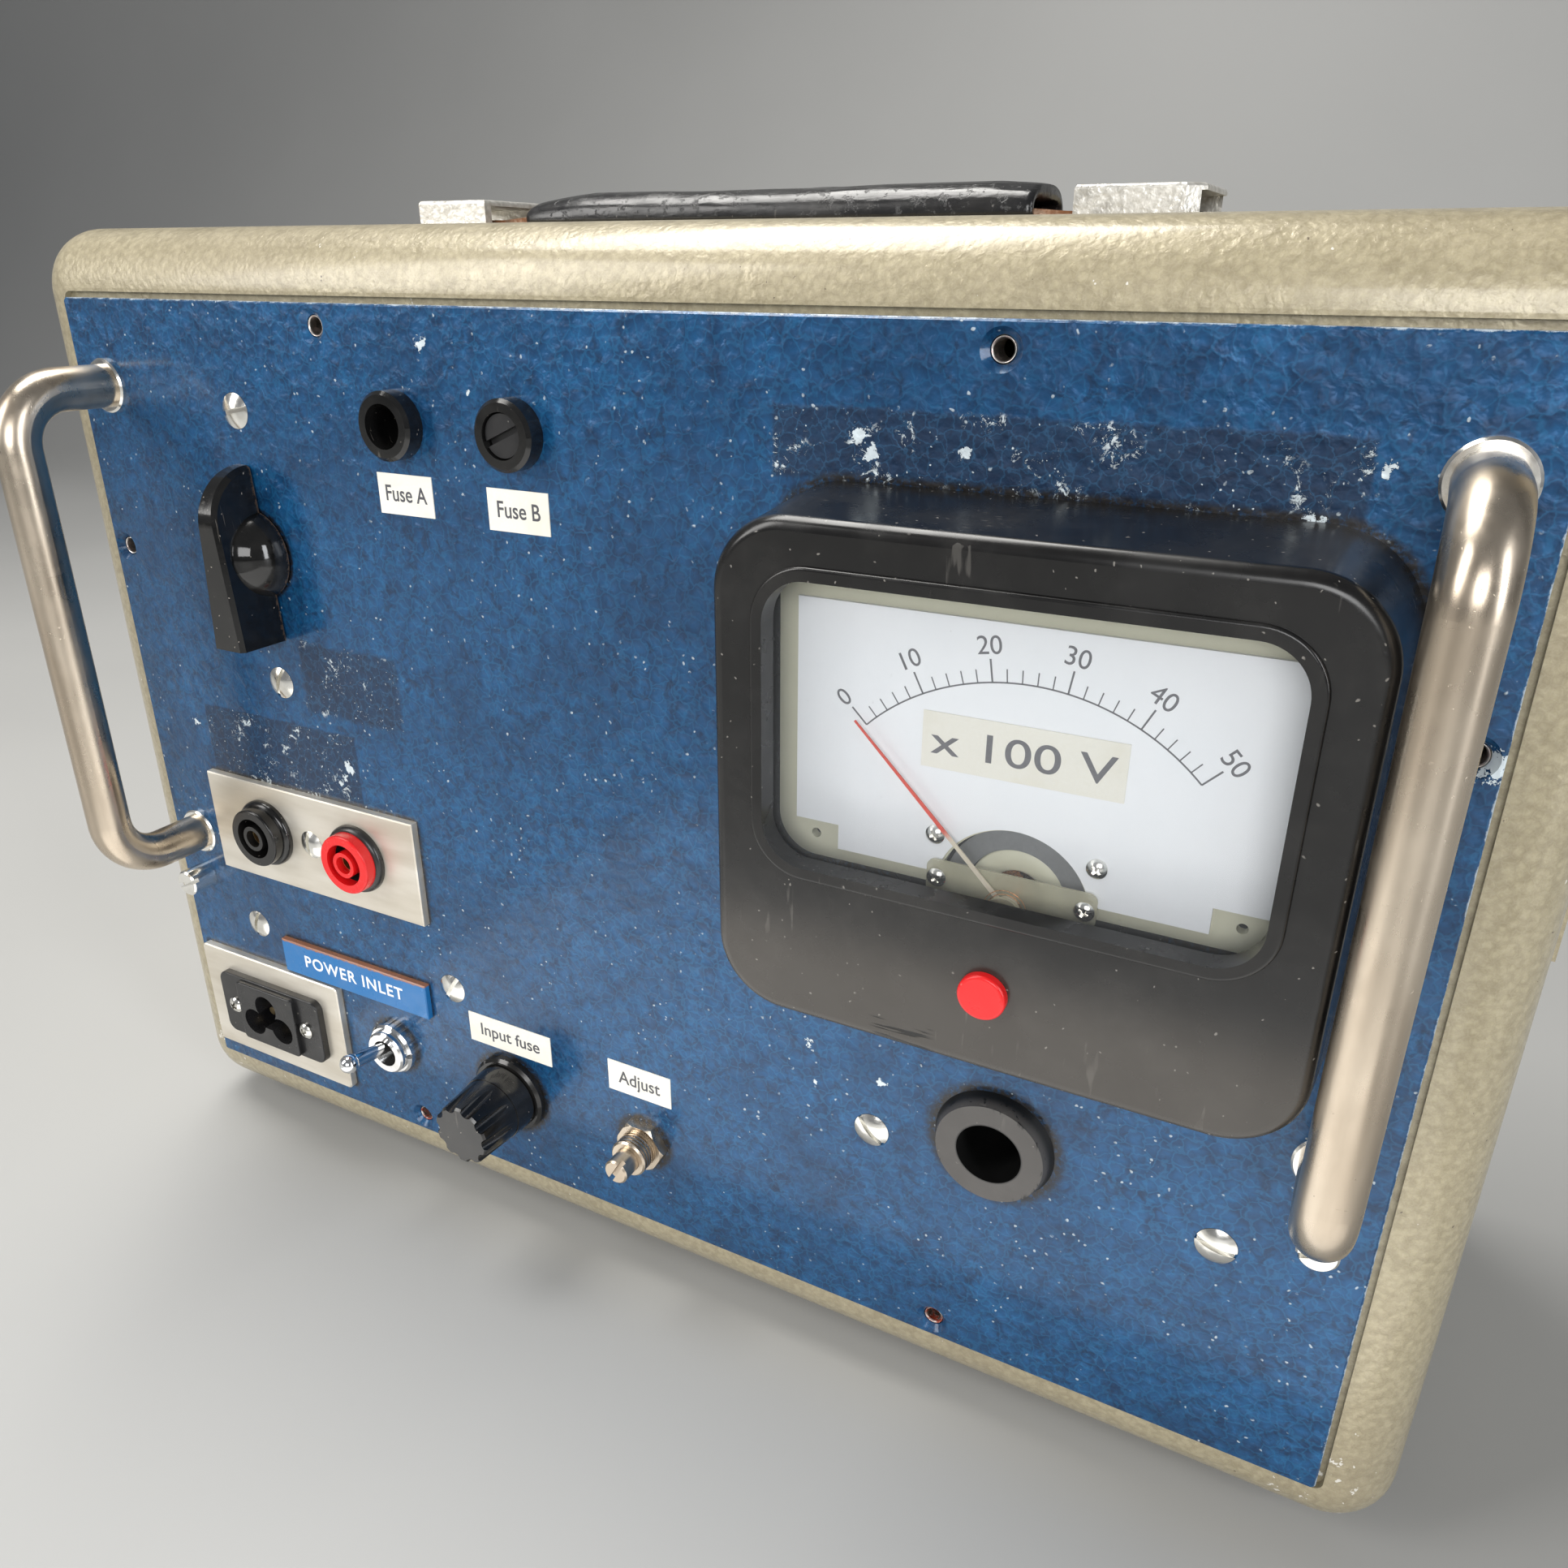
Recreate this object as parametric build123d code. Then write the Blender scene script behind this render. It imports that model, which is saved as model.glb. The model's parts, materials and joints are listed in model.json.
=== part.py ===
from build123d import *
import math
import os

os.makedirs("parts", exist_ok=True)

# Bench power supply: a steel case with a bull-nosed front rim, a front panel that
# carries every control, and the chassis behind it. Millimetres.
#
# Everything is drawn in panel coordinates: x to the right, y up, z out of the
# panel towards the user, with the origin at the centre of the panel's front face.
# TO_WORLD turns that into the part's frame: +X right, +Z up, front towards -Y,
# origin on the resting plane, midway between the pull handles' front and the back.

# ---- case and panel ----------------------------------------------------------
CASE_W = 328.0
CASE_H = 235.0
CASE_D = 125.0
WALL = 1.6
CORNER_R = 14.0
RIM_R = 12.5
BACK_R = 8.0
FOOT_H = 6.0
FOOT_R = 9.0
FOOT_AT = (140.0, 42.0)

PANEL_W = 300.0
PANEL_H = 206.0
PANEL_T = 3.0
PANEL_PROUD = 1.5
LIP_GAP = 1.3
LIP_W = 10.0

CASE_MID = -(CASE_D / 2 + PANEL_PROUD)
CASE_BACK = -(CASE_D + PANEL_PROUD)
TOP_Y = CASE_H / 2

LOUVRES = 3
LOUVRE_Z = -33.0
LOUVRE_STEP = 25.0
LOUVRE_LOW = 1.0
LOUVRE_HIGH = 66.0
LOUVRE_RUN = 14.0
LOUVRE_RISE = 3.9
LOUVRE_SKIN = 1.2
LOUVRE_ROOT = 0.6

ROD_R = 4.75
HANDLE_REACH = 24.0
ORIGIN_DEPTH = (HANDLE_REACH + ROD_R + CASE_BACK) / 2
TO_WORLD = Location((0, ORIGIN_DEPTH, FOOT_H + TOP_Y), (90, 0, 0))

# ---- places on the panel -----------------------------------------------------
EDGE_HOLES = [(-72.3, 98.6), (72.3, 98.6), (-72.3, -98.6), (72.3, -98.6), (-146, 46.5), (146, 46.5)]
EDGE_HOLE_R = 2.2
CONTROL = (-98.8, 49.8)
CONTROL_SCREWS = [(-98.8, 80.8), (-98.8, 18.8)]
CHASSIS_SCREWS = [(x, -53.7) for x in (-124.0, -56.0, 56.5, 125.0)]
CAPTIVE_SCREWS = [(-141.0, -42.5), (141.0, -42.5)]
HANDLE_X = 140.0
HANDLE_TOP = 84.3
HANDLE_LOW = -29.2
UPPER_FUSES = [(-52.0, 80.6), (-22.2, 80.6)]
LOWER_FUSE = (-40.1, -78.9)
SOCKET_PLATE = (-95.6, -23.0, 69.5, 27.2)
SOCKETS = [(-110.9, -22.4), (-79.9, -22.4)]
PLATE_SCREW = (-95.4, -22.4)
INLET_PLATE = (-121.6, -81.0, 51.4, 32.0)
INLET = (-121.0, -80.4)
SWITCH = (-78.1, -77.6)
PRESET = (-0.8, -79.2)
HV_SOCKET = (82.3, -47.2)
METER = (84.4, 31.0)
PIVOT = (84.4, 12.6)
ZERO_CAP = (84.6, 1.8)
FRAME_HOLES = [(48.2, 17.4), (120.6, 17.4)]
CARD_SCREWS = [(70.8, 22.6), (98.0, 22.6)]
BRIDGE_SCREWS = [(71.8, 15.2), (97.0, 15.2)]

# Labels: middle x and y, width, height.
PAPER_LABELS = [
    (-51.7, 66.7, 14.6, 8.3), (-22.7, 65.9, 15.0, 8.3), (-39.0, -62.7, 24.9, 8.3), (-1.3, -62.6, 17.1, 8.3),
]
DIAL_LABEL = (84.2, 39.4, 33.3, 9.7)
NAME_PLATE = (-89.0, -59.6, 50.2, 9.8)
LABEL_T = 0.2
NAME_PLATE_T = 1.6

# ---- hardware sizes ----------------------------------------------------------
HEAD_R = 3.8
SHANK_R = 2.0
PLATE_T = 2.0
RUNNING = 0.05
SLIDING = 0.3

HANDLE_BEND = 12.0
WASHER_R = 6.0
WASHER_T = 1.2

BEZEL_W = 104.0
BEZEL_H = 92.6
BEZEL_T = 23.5
BEZEL_TAPER = 5.0
BEZEL_R = 15.0
BEZEL_WALL = 3.0
WINDOW = (84.4, 41.4, 80.6, 49.0)
WINDOW_R = 7.5
GLASS_Z = 20.0
GLASS_T = 1.8
CARD_Z = 12.0
CARD_T = 0.8
NEEDLE_Z = 13.6
NEEDLE_L = 40.0
NEEDLE_ANGLE = 135.0
METER_HOLE_R = 28.0
CARD_W = 79.6
CARD_TOP = 60.3
CARD_LOW = 15.6
NOTCH_W = 8.2
NOTCH_H = 4.6
POINTER_CLEAR_R = 13.4
MOVEMENT_HEAD_R = 1.7
MOVEMENT_HOLE_R = 0.8
ZERO_CAP_R = 4.1
CAN_R = 27.4
CAN_D = 38.0

SHAFT_R = 3.0
KNOB_L = 39.5
KNOB_W = 9.6
KNOB_H = 12.0
KNOB_GAP = 0.6
KNOB_SKIRT_R = 10.0
KNOB_NOSE_W = 4.6
KNOB_BEVEL = 0.9
KNOB_BLIND = 9.0
CONTROL_R = 28.0
CONTROL_BACK = -34.0

SWITCH_TILT = 12.0
SWITCH_PIVOT = -4.0

FUSE_BORE_R = 4.4
FUSE_BODY_D = 34.0
FUSE_WALL = 0.8
FUSE_FRONT = -1.2
FUSE_LINK_R = 2.6
FUSE_LINK_L = 20.0
LOWER_BORE_R = 6.4
CAP_FOOT_TOP = 8.0
CAP_TOP = 19.0
FLUTES = 10
FLUTE_R = 1.7
FLUTE_REACH = 8.1
FLUTE_TILT = 11.0
HV_BORE_R = 6.5
HV_BORE_D = 24.0
HV_PIN_R = 1.5

SOCKET_HOLE_R = 6.3
SOCKET_FLANGE_R = 8.8
SOCKET_FLANGE_TOP = 3.9
SHROUD_R = 7.6
SHROUD_TOP = 6.6
GROOVE_R = 5.3
BARREL_R = 3.3
BARREL_MOUTH_R = 2.25
SLEEVE_R = 2.6
SLEEVE_BORE_R = 2.05
SLEEVE_TOP = 4.6
INLET_PINS = [(0, 3.3), (-5.2, -2.3), (5.2, -2.3)]
INLET_PIN_R = 1.2
INLET_SCREW_X = 13.6
INLET_EARS_TOP = 4.0
INLET_FACE_TOP = 5.4

CLAMP_IN = 67.5
CLAMP_OUT = 90.0
CLAMP_H = 6.2
CLAMP_D = 27.0
CLAMP_SKIN = 1.2
STRIP_W = 18.0
STRIP_T = 1.2
GRIP_L = 118.0
GRIP_W = 22.0

TRAY_Y = -60.0
TRAY_T = 1.6
CORE = (-24.0, -31.0, 72.0, 58.0)
CORE_FRONT = -50.0
CORE_BACK = -84.0
LIMB_W = 23.0
WINDOW_SPAN = 12.0
YOKE = 12.0
WINDING_PROUD = 11.0
BOARD = (92.0, -18.0, 78.0, 76.0)
BOARD_Z = -86.0
BOARD_T = 1.6


# ---- helpers -----------------------------------------------------------------
def disc(x, y, r, z0, z1):
    return Pos(x, y, (z0 + z1) / 2) * Cylinder(r, z1 - z0)


def tube(x, y, r_out, r_in, z0, z1):
    return disc(x, y, r_out, z0, z1) - disc(x, y, r_in, z0 - 1, z1 + 1)


def cone(x, y, r0, r1, z0, z1):
    return Pos(x, y, (z0 + z1) / 2) * Cone(r0, r1, z1 - z0)


def block(x0, x1, y0, y1, z0, z1):
    centre = Pos((x0 + x1) / 2, (y0 + y1) / 2, (z0 + z1) / 2)
    return centre * Box(x1 - x0, y1 - y0, z1 - z0)


def centred(x, y, w, h, z0, z1):
    return block(x - w / 2, x + w / 2, y - h / 2, y + h / 2, z0, z1)


def pad(x, y, w, h, r, z0, z1, taper=0.0):
    return Pos(x, y, z0) * extrude(RectangleRounded(w, h, r), z1 - z0, taper=taper)


def hexagon(x, y, across_flats, z0, z1):
    return Pos(x, y, z0) * extrude(RegularPolygon(across_flats / 2, 6, major_radius=False), z1 - z0)


def slot_cut(x, y, z, angle, length, width, depth):
    return Pos(x, y, z) * Rot(0, 0, angle) * Box(length, width, 2 * depth)


def save(node, *solids):
    placed = [TO_WORLD * solid for solid in solids]
    shape = placed[0] if len(placed) == 1 else Compound(children=placed)
    export_step(shape, f"parts/{node}.step")


# ---- case --------------------------------------------------------------------
def rounded_box(w, h, corner, front, back, front_r, back_r):
    box = pad(0, 0, w, h, corner, back, front)
    box = fillet(box.faces().sort_by(Axis.Z)[-1].edges(), front_r)
    return fillet(box.faces().sort_by(Axis.Z)[0].edges(), back_r)


def louvre_plan(run, low, high):
    """Outline of a hood against the side wall: square at z = 0, round behind."""
    length = LOUVRE_HIGH - LOUVRE_LOW - 2 * LOUVRE_RUN
    plan = centred(0, 0, 2 * (high - low), length, -run, 0)
    for end in (-1, 1):
        plan += Pos(0, end * length / 2, 0) * Rot(0, 90, 0) * Cylinder(run, 2 * (high - low))
    return plan & block(low, high, -length, length, -run, 0)


def louvre_form(inset):
    """A hood open at z = 0, whose skin arches down to the wall at the back."""
    run = LOUVRE_RUN - inset
    rise = LOUVRE_RISE + LOUVRE_ROOT - inset
    arch = ThreePointArc((rise, 0), (0.78 * rise, -0.64 * run), (0, -run))
    section = make_face(Curve() + [arch, Line((0, -run), (0, 0)), Line((0, 0), (rise, 0))])
    skin = extrude(Plane.XZ * section, LOUVRE_HIGH, both=True)
    return louvre_plan(run, 0, rise) & skin


def add_louvres(shell):
    middle = (LOUVRE_LOW + LOUVRE_HIGH) / 2
    hood = louvre_form(0)
    hollow = louvre_form(LOUVRE_SKIN) + louvre_plan(LOUVRE_RUN - LOUVRE_SKIN, -4 * WALL, LOUVRE_ROOT)
    for row in range(LOUVRES):
        at = Pos(CASE_W / 2 - LOUVRE_ROOT, middle, LOUVRE_Z - row * LOUVRE_STEP)
        for side in (False, True):
            skin = at * hood
            gap = at * hollow
            shell += mirror(skin, about=Plane.YZ) if side else skin
            shell -= mirror(gap, about=Plane.YZ) if side else gap
    return shell


def case_shell():
    front = -PANEL_PROUD
    lip = -PANEL_T
    outer = rounded_box(CASE_W, CASE_H, CORNER_R, front, CASE_BACK, RIM_R, BACK_R)
    inner = rounded_box(
        CASE_W - 2 * WALL, CASE_H - 2 * WALL, CORNER_R - WALL,
        lip - WALL, CASE_BACK + WALL, RIM_R - WALL, BACK_R - WALL,
    )
    recess = pad(0, 0, PANEL_W + 2 * LIP_GAP, PANEL_H + 2 * LIP_GAP, 2, lip, 1)
    mouth = pad(0, 0, PANEL_W - 2 * LIP_W, PANEL_H - 2 * LIP_W, 4, lip - 2 * WALL, 1)
    shell = outer - inner - recess - mouth
    for x, y in EDGE_HOLES + CAPTIVE_SCREWS:
        shell -= disc(x, y, SHANK_R + RUNNING, lip - 2 * WALL, lip + 1)
    for side in (-1, 1):
        for y in (HANDLE_TOP, HANDLE_LOW):
            shell -= disc(side * HANDLE_X, y, HEAD_R + 1.2, lip - 2 * WALL, lip + 1)
    return add_louvres(shell)


def rubber_feet():
    feet = []
    for sx in (-1, 1):
        for sz in (-1, 1):
            spot = Pos(sx * FOOT_AT[0], -TOP_Y - FOOT_H, CASE_MID + sz * FOOT_AT[1]) * Rot(-90, 0, 0)
            foot = Cone(FOOT_R - 1.5, FOOT_R, FOOT_H, align=(Align.CENTER, Align.CENTER, Align.MIN))
            foot = fillet(foot.edges().sort_by(Axis.Z)[0], 1.0)
            foot -= Cylinder(3.5, 2.5, align=(Align.CENTER, Align.CENTER, Align.MIN))
            feet.append(spot * foot)
    return feet


# ---- front panel -------------------------------------------------------------
def countersink(x, y):
    return cone(x, y, SHANK_R, HEAD_R + 0.1, -2.0, 0) + disc(x, y, SHANK_R + 0.1, -9, 0.1)


def front_panel():
    panel = block(-PANEL_W / 2, PANEL_W / 2, -PANEL_H / 2, PANEL_H / 2, -PANEL_T, 0)
    panel = fillet(panel.edges().filter_by(Axis.Z), 1.0)
    panel = chamfer(panel.faces().sort_by(Axis.Z)[-1].edges(), 0.4)
    for x, y in CONTROL_SCREWS + CHASSIS_SCREWS:
        panel -= countersink(x, y)
    for x, y in EDGE_HOLES:
        panel -= disc(x, y, EDGE_HOLE_R, -9, 1) + cone(x, y, EDGE_HOLE_R, 3.4, -1.2, 0.001)
    holes = [(x, y, SHANK_R + 0.3) for x, y in CAPTIVE_SCREWS]
    holes += [(sx * HANDLE_X, y, SHANK_R + 0.2) for sx in (-1, 1) for y in (HANDLE_TOP, HANDLE_LOW)]
    holes += [(x, y, FUSE_BORE_R + FUSE_WALL + 0.1) for x, y in UPPER_FUSES]
    holes += [(*LOWER_FUSE, LOWER_BORE_R + FUSE_WALL + 0.1), (*CONTROL, 4.8)]
    holes += [(*SWITCH, 6.0), (*PRESET, 4.7)]
    holes += [(x, y, SOCKET_HOLE_R) for x, y in SOCKETS]
    holes += [(*PLATE_SCREW, SHANK_R), (*HV_SOCKET, 9.0), (*METER, METER_HOLE_R)]
    for x, y, r in holes:
        panel -= disc(x, y, r, -9, 1)
    return panel - centred(*INLET, 26, 17, -9, 1)


def slotted_screw(x, y, z, angle):
    """Raised countersunk head with its rim on the plane z."""
    dome = Pos(x, y, z - 6.2) * Sphere(7.28) & disc(x, y, HEAD_R, z, z + 3)
    sink = cone(x, y, SHANK_R, HEAD_R, z - 1.9, z)
    shank = disc(x, y, SHANK_R - 0.05, z - 7, z - 1.8)
    return dome + sink + shank - slot_cut(x, y, z + 1.1, angle, 12, 1.0, 1.4)


def panel_screws():
    angles = [12, 70, 78, 60, -45, -12]
    places = CONTROL_SCREWS + CHASSIS_SCREWS
    return [slotted_screw(x, y, 0, angle) for (x, y), angle in zip(places, angles)]


def captive_screw(x, y, angle):
    head = disc(x, y, 3.5, 0.05, 7.0)
    head = chamfer(head.edges().sort_by(Axis.Z)[-1], 0.4)
    return head + disc(x, y, SHANK_R, -7, 0.1) - slot_cut(x, y, 7.0, angle, 12, 1.1, 1.6)


# ---- pull handles ------------------------------------------------------------
def pull_handle(side):
    """A bent rod: two legs out of the panel and a straight grip between them."""
    x = side * HANDLE_X
    foot = WASHER_T
    path = FilletPolyline(
        (x, HANDLE_TOP, foot), (x, HANDLE_TOP, HANDLE_REACH),
        (x, HANDLE_LOW, HANDLE_REACH), (x, HANDLE_LOW, foot), radius=HANDLE_BEND,
    )
    rod = sweep(Plane((x, HANDLE_TOP, foot), z_dir=(0, 0, 1)) * Circle(ROD_R), path=path)
    for y in (HANDLE_TOP, HANDLE_LOW):
        rod -= disc(x, y, SHANK_R, foot - 1, foot + 9)
    return rod


def handle_washers():
    ring = []
    for side in (-1, 1):
        for y in (HANDLE_TOP, HANDLE_LOW):
            washer = tube(side * HANDLE_X, y, WASHER_R, SHANK_R + 0.1, 0, WASHER_T)
            ring.append(chamfer(washer.edges().group_by(Axis.Z)[-1].sort_by(SortBy.RADIUS)[-1], 0.4))
    return ring


def handle_screws():
    screws = []
    for side in (-1, 1):
        for y in (HANDLE_TOP, HANDLE_LOW):
            x = side * HANDLE_X
            head = disc(x, y, HEAD_R, -PANEL_T - 2.6, -PANEL_T)
            slot = slot_cut(x, y, -PANEL_T - 2.6, 30, 12, 1.0, 1.2)
            screws.append(head + disc(x, y, SHANK_R, -PANEL_T, WASHER_T + 8) - slot)
    return screws


# ---- strap handle on top -----------------------------------------------------
def strap_clamp(side):
    """A box clamp, open at both ends, with its outer corners cut off."""
    mid_x = side * (CLAMP_IN + CLAMP_OUT) / 2
    length = CLAMP_OUT - CLAMP_IN
    low = TOP_Y
    high = TOP_Y + CLAMP_H
    half = CLAMP_D / 2
    clamp = block(mid_x - length / 2, mid_x + length / 2, low, high, CASE_MID - half, CASE_MID + half)
    outer = clamp.edges().filter_by(Axis.Y).group_by(Axis.X)[-1 if side > 0 else 0]
    clamp = chamfer(outer, 3.0)
    clamp = fillet(clamp.faces().sort_by(Axis.Y)[-1].edges(), 0.8)
    inside = half - 2.2
    return clamp - block(
        mid_x - length, mid_x + length, low - 1, high - CLAMP_SKIN, CASE_MID - inside, CASE_MID + inside
    )


def strap_line(height):
    """The strap's gentle bow along x: flat in the clamps, a little higher between them."""
    low = TOP_Y + height
    rise = 1.5
    flat = CLAMP_IN + 12
    shoulder = CLAMP_IN - 2
    crown = GRIP_L / 2 - 12
    return FilletPolyline(
        (-flat, low, CASE_MID), (-shoulder, low, CASE_MID), (-crown, low + rise, CASE_MID),
        (crown, low + rise, CASE_MID), (shoulder, low, CASE_MID), (flat, low, CASE_MID), radius=25,
    )


def strap_strip():
    path = strap_line(1.5)
    section = Plane(path @ 0, x_dir=(0, 0, 1), z_dir=path % 0) * Rectangle(STRIP_W, STRIP_T)
    return sweep(section, path=path)


def strap_grip():
    """A moulded sleeve, flat below and crowned above, with open-mouthed ends."""
    base = TOP_Y + 0.9
    crown = Rot(0, 90, 0) * scale(Cylinder(GRIP_W / 2, GRIP_L), by=(1, 0.46, 1))
    crown = Pos(0, base + 1.0, CASE_MID) * crown
    body = crown & block(-GRIP_L, GRIP_L, base, base + 9, CASE_MID - GRIP_W, CASE_MID + GRIP_W)
    half = STRIP_W / 2 + 0.2
    channel = block(-GRIP_L, GRIP_L, base + 0.35, base + 3.4, CASE_MID - half, CASE_MID + half)
    return body - channel


# ---- meter -------------------------------------------------------------------
def meter_bezel():
    bezel = pad(*METER, BEZEL_W, BEZEL_H, BEZEL_R, 0, BEZEL_T, taper=BEZEL_TAPER)
    bezel = fillet(bezel.faces().sort_by(Axis.Z)[-1].edges(), 2.2)
    x, y, w, h = WINDOW
    ridge = pad(x, y, w + 4.6, h + 4.6, WINDOW_R + 2.3, BEZEL_T - 1, BEZEL_T + 0.7)
    bezel += fillet(ridge.faces().sort_by(Axis.Z)[-1].edges(), 0.6)
    wall = 2 * BEZEL_WALL
    bezel -= pad(*METER, BEZEL_W - wall, BEZEL_H - wall, BEZEL_R - 3, -1, GLASS_Z, taper=BEZEL_TAPER)
    bezel -= pad(x, y, w, h, WINDOW_R, 0, BEZEL_T + 5)
    return bezel - disc(*ZERO_CAP, 2.2, 0, BEZEL_T + 5)


def meter_glass():
    x, y, w, h = WINDOW
    return pad(x, y, w + 5.4, h + 5.4, WINDOW_R, GLASS_Z - GLASS_T, GLASS_Z)


def dial_card():
    x = METER[0]
    card = block(x - CARD_W / 2, x + CARD_W / 2, CARD_LOW, CARD_TOP, CARD_Z - CARD_T, CARD_Z)
    for side in (-1, 1):
        corner = x + side * CARD_W / 2
        card -= centred(corner, CARD_LOW, 2 * NOTCH_W, 2 * NOTCH_H, 0, 20)
    for hole in CARD_SCREWS + BRIDGE_SCREWS:
        card -= disc(*hole, MOVEMENT_HOLE_R, 0, 20)
    return card - disc(*PIVOT, POINTER_CLEAR_R, 0, 20)


def meter_frame():
    """The pale tray behind the card, which fills the window's edges and corners."""
    x, y, w, h = WINDOW
    tray = pad(x, y - 0.5, w + 6.6, h + 6.6, WINDOW_R, CARD_Z - CARD_T - 2, CARD_Z - CARD_T)
    tray -= disc(*PIVOT, POINTER_CLEAR_R - 0.4, 0, 20)
    for hole in FRAME_HOLES:
        tray -= disc(*hole, 0.9, 0, 20)
    for hole in CARD_SCREWS + BRIDGE_SCREWS:
        tray -= disc(*hole, MOVEMENT_HOLE_R, 0, 20)
    return tray


def meter_can():
    can = disc(*METER, CAN_R, -CAN_D, 0) - disc(*METER, CAN_R - 2, -CAN_D + 2, 1)
    return can + tube(*METER, METER_HOLE_R + 6, CAN_R - 2, 0, 1.6)


def meter_magnet():
    ring = tube(*PIVOT, 12.4, 8.6, 2.0, 9.0)
    return ring - centred(PIVOT[0], PIVOT[1] - 12, 9, 12, -9, 20)


def meter_bridge():
    """Clear bridge across the movement; its arm holds the pointer's front bearing."""
    x, y = PIVOT
    low = CARD_Z + 0.6
    high = CARD_Z + 1.0
    front = CARD_Z + 4.0
    bar = pad(x, y + 2.6, 29, 6.4, 1.5, low, high)
    bar += block(x - 3.5, x + 3.5, y - 10.2, y, low, high) - disc(x, y, 1.5, 0, 20)
    for hole in BRIDGE_SCREWS:
        bar += disc(*hole, 1.9, CARD_Z, high)
        bar -= disc(*hole, MOVEMENT_HOLE_R, 0, 20)
    arm = block(x - 1.6, x + 1.6, y - 10.2, y - 8.8, low, front)
    arm += block(x - 1.6, x + 1.6, y - 10.2, y, front - 0.7, front)
    return bar + arm + disc(x, y, 3.0, front - 0.7, front) - disc(x, y, 1.5, 0, high + 0.1)


def phillips_screw(x, y, r, z, z_deep, angle):
    head = Pos(x, y, z - r * 0.9) * Sphere(r * 1.5) & disc(x, y, r, z, z + r)
    top = head.bounding_box().max.Z
    cross = slot_cut(x, y, top, angle, r, 0.24 * r + 0.1, 0.5 * r)
    cross += slot_cut(x, y, top, angle + 90, r, 0.24 * r + 0.1, 0.5 * r)
    return head + disc(x, y, 0.42 * r, z_deep, z + 0.1) - cross


def movement_screws():
    screws = []
    for (x, y), turn in zip(CARD_SCREWS, (20, 50)):
        screws.append(phillips_screw(x, y, MOVEMENT_HEAD_R, CARD_Z, CARD_Z - 2.8, turn))
    for (x, y), turn in zip(BRIDGE_SCREWS, (35, 65)):
        screws.append(phillips_screw(x, y, MOVEMENT_HEAD_R, CARD_Z + 1.0, CARD_Z - 2.8, turn))
    return screws


def turned(shape):
    """Turns a pointer drawn along +x about the pivot to its rest at the scale's zero."""
    return Pos(*PIVOT, 0) * Rot(0, 0, NEEDLE_ANGLE) * shape


def meter_needle():
    blade = make_face(Polyline((2, 0.42), (NEEDLE_L, 0.16), (NEEDLE_L, -0.16), (2, -0.42), close=True))
    blade = Pos(0, 0, NEEDLE_Z) * extrude(blade, 0.3)
    tail = block(-8.0, 0, -0.5, 0.5, NEEDLE_Z, NEEDLE_Z + 0.3)
    tail += disc(-7.0, 0, 1.1, NEEDLE_Z - 0.4, NEEDLE_Z + 0.6)
    hub = disc(0, 0, 2.1, NEEDLE_Z - 0.5, NEEDLE_Z + 0.9) + disc(0, 0, 0.5, NEEDLE_Z, NEEDLE_Z + 1.5)
    return turned(blade + tail + hub)


def meter_coil():
    former = centred(0, 0, 11, 6.4, -2.5, 8.2) - centred(0, 0, 8.6, 9, -1.2, 6.9)
    return turned(former + disc(0, 0, 0.7, 8.1, NEEDLE_Z - 0.5))


def hair_spring():
    """Spiral drawn as half rings whose radii grow by half a pitch each."""
    pitch = 0.7
    spiral = None
    for turn in range(7):
        r = 0.7 + turn * pitch / 2
        side = 1 if turn % 2 else -1
        ring = tube(side * pitch / 4, 0, r + 0.09, r - 0.09, NEEDLE_Z + 1.0, NEEDLE_Z + 1.3)
        half = ring & block(-6, 6, 0, 6, 0, 20) if side > 0 else ring & block(-6, 6, -6, 0, 0, 20)
        spiral = half if spiral is None else spiral + half
    return turned(spiral)


def zero_cap():
    cap = disc(*ZERO_CAP, ZERO_CAP_R, BEZEL_T + 0.05, BEZEL_T + 1.7)
    cap = fillet(cap.edges().sort_by(Axis.Z)[-1], 0.6)
    return cap + disc(*ZERO_CAP, 1.85, BEZEL_T - 5.5, BEZEL_T + 0.1)


# ---- output control ----------------------------------------------------------
def bar_knob():
    """A pointer bar, narrower at its nose, which curves back to the panel, over a domed skirt."""
    x, y = CONTROL
    tip = KNOB_L / 2
    front = KNOB_GAP + KNOB_H
    side = Polyline((tip - KNOB_H, front), (-tip, front), (-tip, KNOB_GAP), (tip, KNOB_GAP))
    nose = RadiusArc((tip, KNOB_GAP), (tip - KNOB_H, front), -KNOB_H)
    side = extrude(Plane.YZ * make_face(Curve() + [side, nose]), KNOB_W, both=True)
    wide, slim = KNOB_W / 2, KNOB_NOSE_W / 2
    plan = Polyline((-slim, tip), (-wide, -tip), (wide, -tip), (slim, tip), close=True)
    bar = side & extrude(make_face(plan), front + 1)
    bar = chamfer(bar.faces().sort_by(Axis.Z)[-1].edges().filter_by(Axis.X, reverse=True), KNOB_BEVEL)
    dome = Pos(0, 0, KNOB_GAP) * Sphere(KNOB_SKIRT_R) & disc(0, 0, KNOB_SKIRT_R, KNOB_GAP, KNOB_GAP + 9.4)
    return Pos(x, y, 0) * (bar + dome - disc(0, 0, SHAFT_R, KNOB_GAP - 1, KNOB_GAP + KNOB_BLIND))


def control_spindle():
    x, y = CONTROL
    return disc(x, y, SHAFT_R, CONTROL_BACK - 12, KNOB_GAP + KNOB_BLIND)


def control_bracket():
    x, y = CONTROL
    plate = pad(x, y, 24, 72, 3, -PANEL_T - 1.6, -PANEL_T)
    plate -= disc(x, y, 5.0, -9, 0)
    for hole in CONTROL_SCREWS:
        plate -= disc(*hole, SHANK_R - 0.05, -9, 0)
    return plate


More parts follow.
